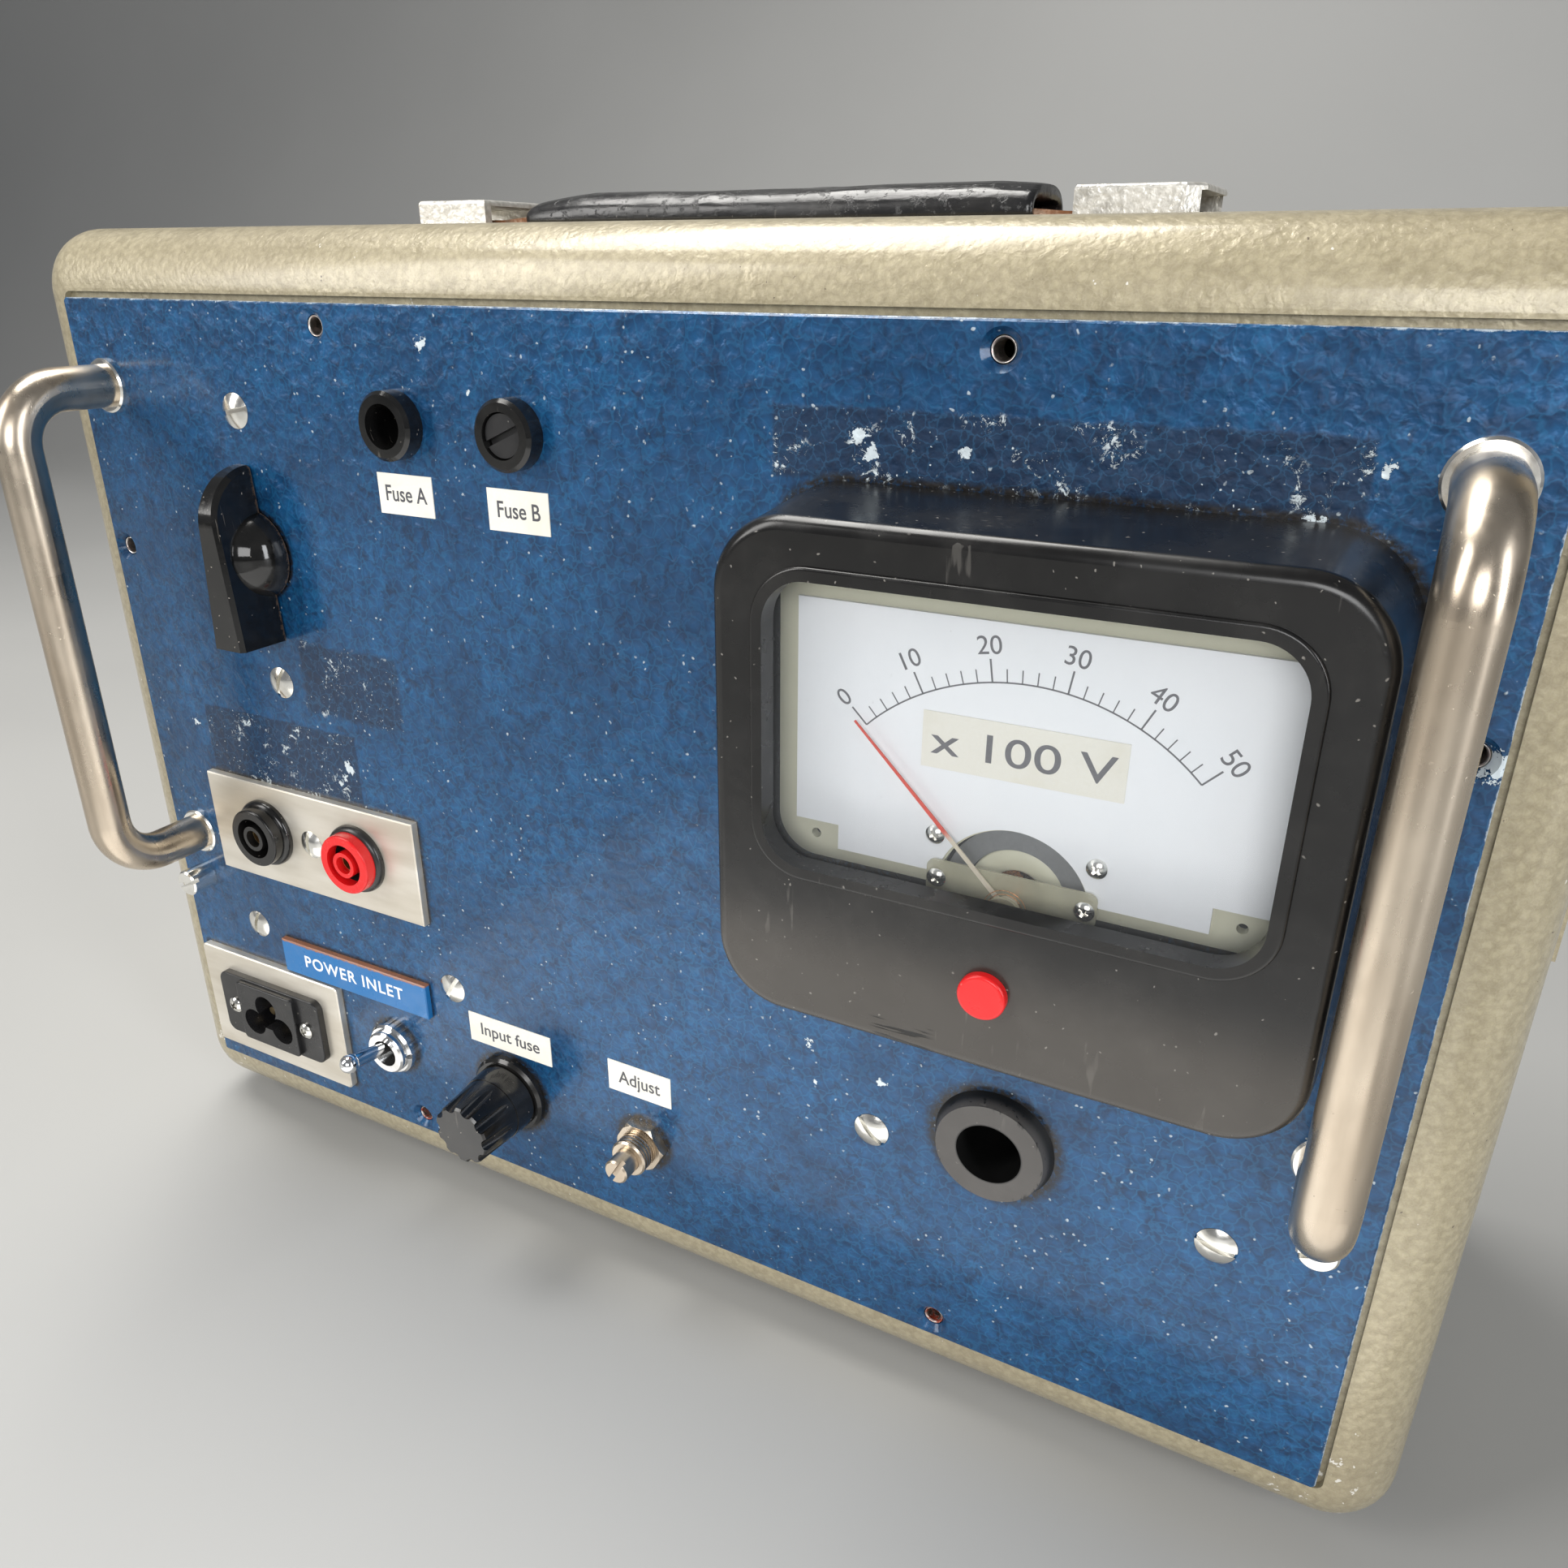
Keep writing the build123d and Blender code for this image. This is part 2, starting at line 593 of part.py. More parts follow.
def control_body():
    """Ring-wound control: the wound ring and its base, with the bush in the middle."""
    x, y = CONTROL
    base = disc(x, y, CONTROL_R, -14, -PANEL_T - 1.6) - disc(x, y, SHAFT_R + RUNNING, -20, 0)
    ring = tube(x, y, CONTROL_R, CONTROL_R - 11, CONTROL_BACK, -14)
    bush = tube(x, y, 4.7, SHAFT_R + RUNNING, -PANEL_T - 1.7, -0.4)
    return base + ring + bush


def control_wiper():
    x, y = CONTROL
    brush = CONTROL_R - 5.5
    hub = tube(x, y, 7, SHAFT_R, CONTROL_BACK - 10, CONTROL_BACK - 2)
    arm = block(x - 2.5, x + 2.5, y + 5, y + brush + 1.5, CONTROL_BACK - 3.6, CONTROL_BACK - 2.2)
    return hub + arm + disc(x, y + brush, 2.2, CONTROL_BACK - 3.6, CONTROL_BACK - 0.4)


# ---- high-voltage socket -----------------------------------------------------
def hv_socket():
    x, y = HV_SOCKET
    ring = cone(x, y, 12.1, 10.8, 0, 3.4) + disc(x, y, 8.9, -40, 0)
    pin_space = disc(x, y, 2.4, -36, 0) + disc(x, y, HV_PIN_R, -41, -35)
    return ring - disc(x, y, HV_BORE_R, -HV_BORE_D, 5) - pin_space


def hv_contact():
    x, y = HV_SOCKET
    return disc(x, y, HV_PIN_R, -40, -HV_BORE_D - 1) + disc(x, y, 2 * HV_PIN_R, -46, -40)


# ---- fuse holders ------------------------------------------------------------
def fuse_holder(x, y, bore, rim, rim_h):
    body = disc(x, y, bore + FUSE_WALL, -FUSE_BODY_D, 0)
    flange = disc(x, y, rim, 0, rim_h)
    flange = chamfer(flange.edges().sort_by(Axis.Z)[-1], 0.7)
    return body + flange - disc(x, y, bore, -FUSE_BODY_D + 2, rim_h + 1)


def spare_carrier():
    x, y = UPPER_FUSES[1]
    r = FUSE_BORE_R - SLIDING
    plug = disc(x, y, r, -6, 3.6) - disc(x, y, FUSE_LINK_R + SLIDING, -7, -1)
    return plug - slot_cut(x, y, 3.6, 24, 3 * r, 1.2, 1.4)


def lower_carrier():
    """A cap whose tilted flutes fade out above its smooth foot, on a plug for the holder."""
    x, y = LOWER_FUSE
    foot = cone(x, y, 8.8, 8.5, 2.6, CAP_FOOT_TOP)
    cap = cone(x, y, 8.3, 7.7, CAP_FOOT_TOP, CAP_TOP)
    cap = foot + chamfer(cap.edges().sort_by(Axis.Z)[-1], 0.5)
    flute = Pos(FLUTE_REACH, 0, 0) * Rot(0, -FLUTE_TILT, 0) * Cylinder(FLUTE_R, 30)
    for step in range(FLUTES):
        cap -= Pos(x, y, CAP_TOP) * Rot(0, 0, step * 360 / FLUTES) * flute
    plug = disc(x, y, LOWER_BORE_R - SLIDING, -8, 2.7)
    return cap + plug - disc(x, y, FUSE_LINK_R + SLIDING, -9, -1)


def fuse_link(x, y):
    """A glass tube between two metal ends."""
    back = FUSE_FRONT - FUSE_LINK_L
    link = disc(x, y, FUSE_LINK_R - 0.25, back, FUSE_FRONT)
    for z0, z1 in ((back, back + 5), (FUSE_FRONT - 5, FUSE_FRONT)):
        link += disc(x, y, FUSE_LINK_R, z0, z1)
    return link


def fuse_nuts():
    nuts = []
    for (x, y), flats, r in [(UPPER_FUSES[0], 14, FUSE_BORE_R), (UPPER_FUSES[1], 14, FUSE_BORE_R),
                             (LOWER_FUSE, 20, LOWER_BORE_R)]:
        nuts.append(hexagon(x, y, flats, -PANEL_T - 3, -PANEL_T) - disc(x, y, r + FUSE_WALL, -9, 0))
    return nuts


# ---- low-voltage sockets -----------------------------------------------------
def socket_plate():
    plate = centred(*SOCKET_PLATE, 0, PLATE_T)
    plate = chamfer(plate.faces().sort_by(Axis.Z)[-1].edges(), 0.3)
    for x, y in SOCKETS:
        plate -= disc(x, y, SOCKET_HOLE_R, -1, 9)
    return plate - disc(*PLATE_SCREW, SHANK_R, -1, 9)


def plate_screw():
    x, y = PLATE_SCREW
    head = Pos(x, y, PLATE_T - 4.4) * Sphere(5.75) & disc(x, y, 3.6, PLATE_T, PLATE_T + 3)
    shank = disc(x, y, SHANK_R - 0.05, -7, PLATE_T + 0.1)
    return head + shank - slot_cut(x, y, PLATE_T + 1.2, 92, 12, 1.0, 1.0)


def safety_socket(x, y):
    """Rounded flange, a shroud with a ring groove for the plug, and the sleeve's barrel."""
    flange = disc(x, y, SOCKET_FLANGE_R, PLATE_T, SOCKET_FLANGE_TOP)
    flange = fillet(flange.edges().sort_by(Axis.Z)[-1], 1.4)
    shroud = disc(x, y, SHROUD_R, PLATE_T, SHROUD_TOP)
    shroud = fillet(shroud.edges().sort_by(Axis.Z)[-1], 0.5)
    body = flange + shroud + disc(x, y, SOCKET_HOLE_R - RUNNING, -20, PLATE_T)
    body -= tube(x, y, GROOVE_R, BARREL_R, -6, SHROUD_TOP + 1)
    body -= disc(x, y, SLEEVE_R, -21, SLEEVE_TOP)
    return body - disc(x, y, BARREL_MOUTH_R, 0, SHROUD_TOP + 1)


def socket_sleeve(x, y):
    return tube(x, y, SLEEVE_R, SLEEVE_BORE_R, -22, SLEEVE_TOP) + disc(x, y, SLEEVE_R, -26, -21.9)


# ---- mains inlet -------------------------------------------------------------
def inlet_plate():
    plate = centred(*INLET_PLATE, 0, PLATE_T)
    plate = fillet(plate.edges().filter_by(Axis.Z), 1.2)
    plate = chamfer(plate.faces().sort_by(Axis.Z)[-1].edges(), 0.3)
    return plate - centred(*INLET, 25, 16, -1, 9)


def clover(x, y, z0, z1):
    """Three round lobes, one round each pin."""
    shape = centred(x, y - 0.6, 6, 5, z0, z1)
    for dx, dy in INLET_PINS:
        shape += disc(x + dx, y + dy, 3.9, z0, z1)
    return shape


def mains_inlet():
    """A thin flange with an ear at each end, and a raised face round the clover recess."""
    x, y = INLET
    ears = pad(x, y, 37.6, 19.4, 2.8, PLATE_T, INLET_EARS_TOP)
    ears = fillet(ears.faces().sort_by(Axis.Z)[-1].edges(), 0.4)
    face = pad(x, y, 21.4, 18.2, 1.2, PLATE_T, INLET_FACE_TOP)
    face = fillet(face.faces().sort_by(Axis.Z)[-1].edges(), 0.4)
    body = ears + face + centred(x, y, 24.4, 15.4, -18, PLATE_T)
    for side in (-1, 1):
        body -= disc(x + side * INLET_SCREW_X, y, 1.1, -20, 9)
    for dx, dy in INLET_PINS:
        body -= disc(x + dx, y + dy, INLET_PIN_R, -20, 0)
    return body - clover(x, y, -12, 9)


def inlet_pins():
    x, y = INLET
    return [disc(x + dx, y + dy, INLET_PIN_R, -24, -0.5) for dx, dy in INLET_PINS]


def inlet_screws():
    x, y = INLET
    return [phillips_screw(x + side * INLET_SCREW_X, y, 2.3, INLET_EARS_TOP, PLATE_T, 25 * side)
            for side in (-1, 1)]


# ---- toggle switch -----------------------------------------------------------
def switch_body():
    x, y = SWITCH
    case = centred(x, y, 13, 20, -26, -PANEL_T - 1)
    bush = disc(x, y, 5.9, -PANEL_T - 1, 4.6)
    bush = chamfer(bush.edges().sort_by(Axis.Z)[-1], 0.5)
    bore = disc(x, y, 2.9, SWITCH_PIVOT - 4, 9) + cone(x, y, 2.9, 3.7, -1, 4.7)
    return case + bush - bore


def switch_nut():
    x, y = SWITCH
    nut = tube(x, y, 7.1, 5.95, 0, 2.8)
    nut = chamfer(nut.edges().group_by(Axis.Z)[-1].sort_by(SortBy.RADIUS)[-1], 0.6)
    for step in range(24):
        angle = math.radians(15 * step)
        nut -= disc(x + 7.35 * math.cos(angle), y + 7.35 * math.sin(angle), 0.45, -1, 2.0)
    return nut - slot_cut(x, y, 2.8, 0, 20, 1.4, 0.9)


def switch_lever():
    x, y = SWITCH
    lever = Sphere(2.4) + cone(0, 0, 1.3, 1.5, 0, 8) + cone(0, 0, 1.5, 2.1, 8, 19)
    lever += Pos(0, 0, 20.2) * Sphere(2.4)
    return Pos(x, y, SWITCH_PIVOT) * Rot(-SWITCH_TILT, 0, 0) * lever


# ---- preset control ----------------------------------------------------------
def preset_body():
    x, y = PRESET
    can = disc(x, y, 8, -16, -PANEL_T - 0.5)
    bush = disc(x, y, 4.6, -PANEL_T - 0.5, 7.0)
    bush = chamfer(bush.edges().sort_by(Axis.Z)[-1], 0.4)
    for step in range(4):
        bush -= tube(x, y, 5, 4.25, 3.2 + step * 0.9, 3.6 + step * 0.9)
    return can + bush - disc(x, y, SHAFT_R + RUNNING, -12, 9)


def preset_nut():
    x, y = PRESET
    nut = hexagon(x, y, 11.4, 0, 2.6) & cone(x, y, 8.6, 5.9, 0, 2.6)
    return nut - disc(x, y, 4.65, -1, 5)


def preset_shaft():
    x, y = PRESET
    shaft = disc(x, y, SHAFT_R, -11, 12)
    shaft = chamfer(shaft.edges().sort_by(Axis.Z)[-1], 0.4)
    return shaft - slot_cut(x, y, 12, 60, 12, 1.1, 1.6)


# ---- labels ------------------------------------------------------------------
def paper_labels():
    labels = [centred(x, y, w, h, 0, LABEL_T) for x, y, w, h in PAPER_LABELS]
    return labels + [centred(*DIAL_LABEL, CARD_Z, CARD_Z + LABEL_T)]


def name_plate():
    plate = centred(*NAME_PLATE, 0, NAME_PLATE_T)
    return chamfer(plate.faces().sort_by(Axis.Z)[-1].edges(), 0.25)


# ---- inside ------------------------------------------------------------------
def chassis_bracket():
    """Angle behind the panel with a tray that runs to the back of the case."""
    flange = block(-130, 131, TRAY_Y, -47.5, -PANEL_T - TRAY_T, -PANEL_T)
    tray = block(-130, 131, TRAY_Y - TRAY_T, TRAY_Y, -112, -PANEL_T)
    bracket = flange + tray - disc(*HV_SOCKET, 10.5, -9, 0)
    for x, y in CHASSIS_SCREWS:
        bracket -= disc(x, y, SHANK_R - 0.05, -9, 0)
    return bracket


def transformer_core():
    x, y, w, h = CORE
    core = centred(x, y, w, h, CORE_BACK, CORE_FRONT)
    for side in (-1, 1):
        middle = x + side * (LIMB_W + WINDOW_SPAN) / 2
        core -= centred(middle, y, WINDOW_SPAN, h - 2 * YOKE, CORE_BACK - 1, CORE_FRONT + 1)
    return core


def transformer_winding():
    x, y, _, h = CORE
    height = h - 2 * YOKE - 1
    wound = LIMB_W + 2 * (WINDOW_SPAN - 0.6)
    coil = centred(x, y, wound, height, CORE_BACK - WINDING_PROUD, CORE_FRONT + WINDING_PROUD)
    limb = centred(x, y, LIMB_W + 0.4, height + 2, CORE_BACK - 0.2, CORE_FRONT + 0.2)
    return coil - limb


def multiplier_board():
    return centred(*BOARD, BOARD_Z - BOARD_T, BOARD_Z)


def board_capacitors():
    x, y = BOARD[:2]
    spots = [(x + column * 24 - 24, y + row * 24 - 22) for column in range(3) for row in range(2)]
    return [disc(*spot, 9, BOARD_Z, BOARD_Z + 26) for spot in spots]


def board_rectifiers():
    x, y = BOARD[:2]
    return [centred(x - 26 + 14 * i, y + 25, 8, 10, BOARD_Z, BOARD_Z + 6) for i in range(5)]


# ---- the nodes ---------------------------------------------------------------
def build_case():
    save("case_shell", case_shell())
    save("rubber_feet", *rubber_feet())
    save("front_panel", front_panel())
    save("slotted_screws", *panel_screws(), plate_screw())
    save("captive_screws", *[captive_screw(x, y, 22) for x, y in CAPTIVE_SCREWS])
    save("left_pull_handle", pull_handle(-1))
    save("right_pull_handle", pull_handle(1))
    save("handle_washers", *handle_washers())
    save("handle_screws", *handle_screws())
    save("strap_clamps", strap_clamp(-1), strap_clamp(1))
    save("strap_strip", strap_strip())
    save("strap_grip", strap_grip())


def build_meter():
    save("meter_bezel", meter_bezel())
    save("meter_glass", meter_glass())
    save("dial_card", dial_card())
    save("meter_frame", meter_frame())
    save("meter_can", meter_can())
    save("meter_magnet", meter_magnet())
    save("meter_bridge", meter_bridge())
    save("movement_screws", *movement_screws())
    save("meter_needle", meter_needle())
    save("meter_coil", meter_coil())
    save("hair_spring", hair_spring())
    save("zero_cap", zero_cap())


def build_controls():
    save("control_knob", bar_knob())
    save("control_spindle", control_spindle())
    save("control_bracket", control_bracket())
    save("control_body", control_body())
    save("control_wiper", control_wiper())
    save("switch_body", switch_body())
    save("switch_ring_nut", switch_nut())
    save("switch_lever", switch_lever())
    save("preset_body", preset_body())
    save("preset_nut", preset_nut())
    save("preset_shaft", preset_shaft())


def build_connectors():
    save("hv_socket", hv_socket())
    save("hv_contact", hv_contact())
    save("upper_fuse_holders", *[fuse_holder(x, y, FUSE_BORE_R, 6.8, 4.2) for x, y in UPPER_FUSES])
    save("lower_fuse_holder", fuse_holder(*LOWER_FUSE, LOWER_BORE_R, 10.3, 2.2))
    save("fuse_holder_nuts", *fuse_nuts())
    save("spare_fuse_carrier", spare_carrier())
    save("spare_fuse_link", fuse_link(*UPPER_FUSES[1]))
    save("mains_fuse_carrier", lower_carrier())
    save("mains_fuse_link", fuse_link(*LOWER_FUSE))
    save("socket_plate", socket_plate())
    save("black_socket", safety_socket(*SOCKETS[0]))
    save("red_socket", safety_socket(*SOCKETS[1]))
    save("socket_sleeves", *[socket_sleeve(x, y) for x, y in SOCKETS])
    save("inlet_plate", inlet_plate())
    save("mains_inlet", mains_inlet())
    save("inlet_pins", *inlet_pins())
    save("inlet_screws", *inlet_screws())
    save("name_plate", name_plate())
    save("paper_labels", *paper_labels())


def build_inside():
    save("chassis_bracket", chassis_bracket())
    save("transformer_core", transformer_core())
    save("transformer_winding", transformer_winding())
    save("multiplier_board", multiplier_board())
    save("board_capacitors", *board_capacitors())
    save("board_rectifiers", *board_rectifiers())


build_case()
build_meter()
build_controls()
build_connectors()
build_inside()
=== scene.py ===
import json
import math

import bpy
from mathutils import Matrix, Vector, noise


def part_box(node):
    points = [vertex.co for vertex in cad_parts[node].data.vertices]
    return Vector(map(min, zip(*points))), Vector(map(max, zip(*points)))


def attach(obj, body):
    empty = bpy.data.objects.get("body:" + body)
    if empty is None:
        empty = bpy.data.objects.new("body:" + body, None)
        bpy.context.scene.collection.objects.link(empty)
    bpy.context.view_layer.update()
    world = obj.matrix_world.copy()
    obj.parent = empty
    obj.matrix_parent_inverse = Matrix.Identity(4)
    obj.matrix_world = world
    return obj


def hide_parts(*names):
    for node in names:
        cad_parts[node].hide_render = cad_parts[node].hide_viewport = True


# Looks for the bench power supply. Every place is given as (x, y, z) in millimetres
# on the front panel, as in the CAD: x to the right, y up, z out of the panel, with
# the origin at the middle of the panel's front face.

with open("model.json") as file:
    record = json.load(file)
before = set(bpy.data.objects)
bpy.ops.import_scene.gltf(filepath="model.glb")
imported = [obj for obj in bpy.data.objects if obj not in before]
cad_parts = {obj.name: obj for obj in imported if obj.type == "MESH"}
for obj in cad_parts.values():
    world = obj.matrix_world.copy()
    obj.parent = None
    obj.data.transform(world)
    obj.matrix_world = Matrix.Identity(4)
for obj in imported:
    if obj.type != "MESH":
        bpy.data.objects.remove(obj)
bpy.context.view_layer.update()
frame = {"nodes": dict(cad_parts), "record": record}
MM = 0.001

PANEL_LOW, PANEL_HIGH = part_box("front_panel")
PANEL_W = (PANEL_HIGH.x - PANEL_LOW.x) / MM
PANEL_H = (PANEL_HIGH.z - PANEL_LOW.z) / MM
ORIGIN = Vector(((PANEL_LOW.x + PANEL_HIGH.x) / 2, PANEL_LOW.y, (PANEL_LOW.z + PANEL_HIGH.z) / 2))


def at(x, y, z=0.0):
    """A place on the panel, in the shared frame."""
    return ORIGIN + Vector((x, -z, y)) * MM


def middle(node):
    """(x, y) of a node's middle on the panel, in millimetres."""
    low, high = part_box(node)
    centre = ((low + high) / 2 - ORIGIN) / MM
    return centre.x, centre.z


def size_of(node):
    """(width, height) of a node on the panel, in millimetres."""
    low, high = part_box(node)
    return (high.x - low.x) / MM, (high.z - low.z) / MM


def front(node):
    """How far a node's front stands out of the panel, in millimetres."""
    return (ORIGIN.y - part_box(node)[0].y) / MM


# ---- sizes that only the looks need ------------------------------------------
PIVOT = middle("hair_spring")
SCALE_R = 38.25
SCALE_START = 135.0
SCALE_SWEEP = 90.0
MAJOR_TICKS = 6
MINOR_PER_MAJOR = 5
MAJOR_L = 3.8
MINOR_L = 2.2
MAJOR_T = 0.28
MINOR_T = 0.20
ARC_T = 0.26
ARC_STEPS = 90
NUMERAL_R = 44.1
NUMERAL_SIZE = 4.278
INK_T = 0.03
LABEL_T = 0.2
CARD_Z = front("dial_card")

# Where tape was pulled off the panel: x, y, width, height and the edge's softness.
TAPE_GHOSTS = [
    (79.8, 83.2, 93.5, 12.5, 0.9),
    (-76.0, 21.5, 32.0, 19.0, 1.8),
    (-103.0, -0.5, 52.0, 19.0, 0.6),
]
BEZEL_CORNER = 15.0
METER_MIDDLE = middle("meter_bezel")
# The bezel's scores: x, y, width, height and the edge's softness.
BEZEL_SCORES = (70.7, -11.0, 7.0, 3.0, 3.0)
# How far below the meter's middle the painted sheen on the bezel's lower part is centred, in millimetres.
BEZEL_SHEEN_BELOW = 26.0
FLANGE_TOP = 3.9
HV_BORE_R = 6.5
HV_FLAT_R = 10.0

# The strap's grip: points round a ring, rings along it, and how proud it stands of the CAD.
GRIP_POINTS = 40
GRIP_STATIONS = 96
GRIP_PROUD = 0.9
GRIP_FLOOR = 1.2
GRIP_WALL = 1.7
PINCH_L = 15.0
MOUTH_L = 9.0

# The lining's loose threads past the strap's right clamp.
FRAY_THREADS = 16
FRAY_STEPS = 5
FRAY_T = 0.45
FRAY_SPREAD = 13.0

# The tapped inserts in the panel's open edge holes.
THREAD_PITCH = 0.7
THREAD_TURNS = 8
INSERT_R = 2.0
ROOT_R = 1.92
CREST_R = 1.62
INSERT_TOP = -1.25
EDGE_HOLES = [(-72.3, 98.6), (72.3, 98.6), (-72.3, -98.6), (72.3, -98.6), (-146, 46.5), (146, 46.5)]

# The ring round the meter's moving coil, and the spiral spring on its pointer.
CARRIER_OUTER_R = 8.5
CARRIER_INNER_R = 4.6
CARRIER_LOW = 8.3
CARRIER_HIGH = 9.0
CARRIER_CHAMFER = 0.3
SPRING_TURNS = 5
SPRING_INNER_R = 0.8
SPRING_PITCH = 0.68
SPRING_WIRE_R = 0.07
SPRING_SUNK = 0.15

# Places where the panel's paint is chipped: x, y and the chip's size.
PANEL_CHIPS = [
    (-43.5, 96.0, 1.6), (58.0, -41.4, 1.3), (41.9, -36.9, 1.1), (43.5, -46.4, 0.8), (148.6, 45.7, 3.2),
    (-84.0, -4.4, 0.9), (-82.3, -2.2, 1.3), (-80.2, 0.4, 1.9), (-32.7, 87.6, 0.7), (-133.0, 3.0, 1.3),
    (119.7, 77.6, 1.6), (49.5, 85.0, 2.0), (51.5, 82.0, 1.6), (67.7, 83.4, 1.2), (127.7, 84.9, 1.3),
]

CAMERA_AT = at(131.4, 109.8, 184.3)
CAMERA_AIM = at(35.8, 20.0, 0.0)
CAMERA_LENS = 27.4
CAMERA_ROLL = math.radians(0.26)


# ---- node helpers ------------------------------------------------------------
class Look:
    """A Principled material, with short calls that add the nodes it needs."""

    def __init__(self, name, **sockets):
        self.material = bpy.data.materials.new(name)
        self.material.use_nodes = True
        self.tree = self.material.node_tree
        self.shader = self.tree.nodes["Principled BSDF"]
        self.place = self.add("ShaderNodeTexCoord").outputs["Object"]
        self.height = None
        for socket, value in sockets.items():
            self.set(socket.replace("_", " "), value)

    def add(self, kind, **settings):
        node = self.tree.nodes.new(kind)
        for key, value in settings.items():
            setattr(node, key, value)
        return node

    def feed(self, socket, value):
        if isinstance(value, bpy.types.NodeSocket):
            self.tree.links.new(value, socket)
        elif isinstance(value, tuple) and len(value) == 3 and len(socket.default_value) == 4:
            socket.default_value = (*value, 1.0)
        else:
            socket.default_value = value

    def set(self, socket, value):
        self.feed(self.shader.inputs[socket], value)

    def stretched(self, stretch, shift=(0, 0, 0)):
        """The place, scaled by stretch and then moved by shift."""
        mapping = self.add("ShaderNodeMapping")
        self.feed(mapping.inputs["Vector"], self.place)
        mapping.inputs["Scale"].default_value = stretch
        mapping.inputs["Location"].default_value = shift
        return mapping.outputs["Vector"]

    def noise(self, size, detail=4.0, rough=0.55, stretch=(1, 1, 1), shift=(0, 0, 0), warp=0.0):
        """Noise whose features are about size millimetres across."""
        node = self.add("ShaderNodeTexNoise")
        node.inputs["Scale"].default_value = 1.0 / (size * MM)
        node.inputs["Detail"].default_value = detail
        node.inputs["Roughness"].default_value = rough
        node.inputs["Distortion"].default_value = warp
        where = self.stretched(stretch, shift) if any(shift) or stretch != (1, 1, 1) else self.place
        self.feed(node.inputs["Vector"], where)
        return node.outputs["Fac"]

    def cells(self, size, vector, feature="F1"):
        """Distances inside a pattern of cells about size millimetres across."""
        node = self.add("ShaderNodeTexVoronoi", feature=feature)
        node.inputs["Scale"].default_value = 1.0 / (size * MM)
        self.feed(node.inputs["Vector"], vector)
        return node.outputs["Distance"]

    def warped(self, size, amount):
        """The place, pushed about by noise of that size, by up to amount millimetres."""
        node = self.add("ShaderNodeTexNoise")
        node.inputs["Scale"].default_value = 1.0 / (size * MM)
        self.feed(node.inputs["Vector"], self.place)
        push = self.add("ShaderNodeVectorMath", operation="MULTIPLY_ADD")
        self.feed(push.inputs[0], node.outputs["Color"])
        push.inputs[1].default_value = (amount * MM,) * 3
        self.feed(push.inputs[2], self.place)
        return push.outputs["Vector"]

    def maths(self, operation, a, b=0.0, c=0.0, clamp=False):
        """One sum: MULTIPLY_ADD is a * b + c."""
        node = self.add("ShaderNodeMath", operation=operation, use_clamp=clamp)
        for socket, value in zip(node.inputs, (a, b, c)):
            self.feed(socket, value)
        return node.outputs[0]

    def step(self, value, low, high, out_low=0.0, out_high=1.0):
        """A smooth step of value from low to high."""
        node = self.add("ShaderNodeMapRange", interpolation_type="SMOOTHSTEP")
        for socket, number in zip(node.inputs, (value, low, high, out_low, out_high)):
            self.feed(socket, number)
        return node.outputs[0]

    def mix(self, factor, a, b):
        """Colour a where the factor is 0, and b where it is 1."""
        node = self.add("ShaderNodeMix", data_type="RGBA")
        self.feed(node.inputs["Factor"], factor)
        self.feed(node.inputs["A"], a)
        self.feed(node.inputs["B"], b)
        return node.outputs["Result"]

    def both(self, a, b):
        """1 where both masks are 1."""
        return self.maths("MULTIPLY", a, b)

    def base_colour(self):
        """What feeds the base colour so far."""
        return self.shader.inputs["Base Color"].links[0].from_socket

    def finish(self, colour, grain, smooth, dull):
        """Sets the colour, and a roughness that runs from smooth to dull with the grain."""
        self.set("Base Color", colour)
        self.set("Roughness", self.step(grain, 0.3, 0.7, smooth, dull))

    def axis(self, name):
        """One axis of the shared frame, in metres."""
        if not hasattr(self, "axes"):
            split = self.add("ShaderNodeSeparateXYZ")
            self.feed(split.inputs[0], self.place)
            self.axes = split.outputs
        return self.axes[name]

    def across(self, name, centre):
        """Distance from centre along one axis of the shared frame, in metres."""
        return self.maths("ABSOLUTE", self.maths("SUBTRACT", self.axis(name), centre))

    def outside(self, x, y, w, h):
        """How far out of a rectangle on the panel, along X and along Z, in metres."""
        spot = at(x, y)
        dx = self.maths("SUBTRACT", self.across("X", spot.x), w / 2 * MM)
        dz = self.maths("SUBTRACT", self.across("Z", spot.z), h / 2 * MM)
        return dx, dz

    def length(self, dx, dz):
        return self.maths("SQRT", self.maths("ADD", self.maths("POWER", dx, 2), self.maths("POWER", dz, 2)))

    def patch(self, x, y, w, h, soft, ragged=None):
        """1 inside a rectangle on the panel, fading over soft millimetres."""
        out = self.maths("MAXIMUM", *self.outside(x, y, w, h))
        if ragged is not None:
            out = self.maths("MULTIPLY_ADD", ragged, soft * 2 * MM, out)
        return self.step(out, soft * MM, 0.0)

    def round_patch(self, x, y, r, soft, ragged=None):
        """1 within r millimetres of a place on the panel, or ragged islands of about that size."""
        spot = at(x, y)
        far = self.length(self.across("X", spot.x), self.across("Z", spot.z))
        if ragged is not None:
            far = self.maths("MULTIPLY_ADD", self.maths("SUBTRACT", ragged, 0.5), 6 * r * MM, far)
        return self.step(far, (r + soft) * MM, r * MM)

    def rounded(self, x, y, w, h, r, soft):
        """1 inside a round-cornered rectangle on the panel, fading over soft millimetres."""
        dx, dz = self.outside(x, y, w - 2 * r, h - 2 * r)
        far = self.length(self.maths("MAXIMUM", dx, 0.0), self.maths("MAXIMUM", dz, 0.0))
        return self.step(far, (r + soft) * MM, r * MM)

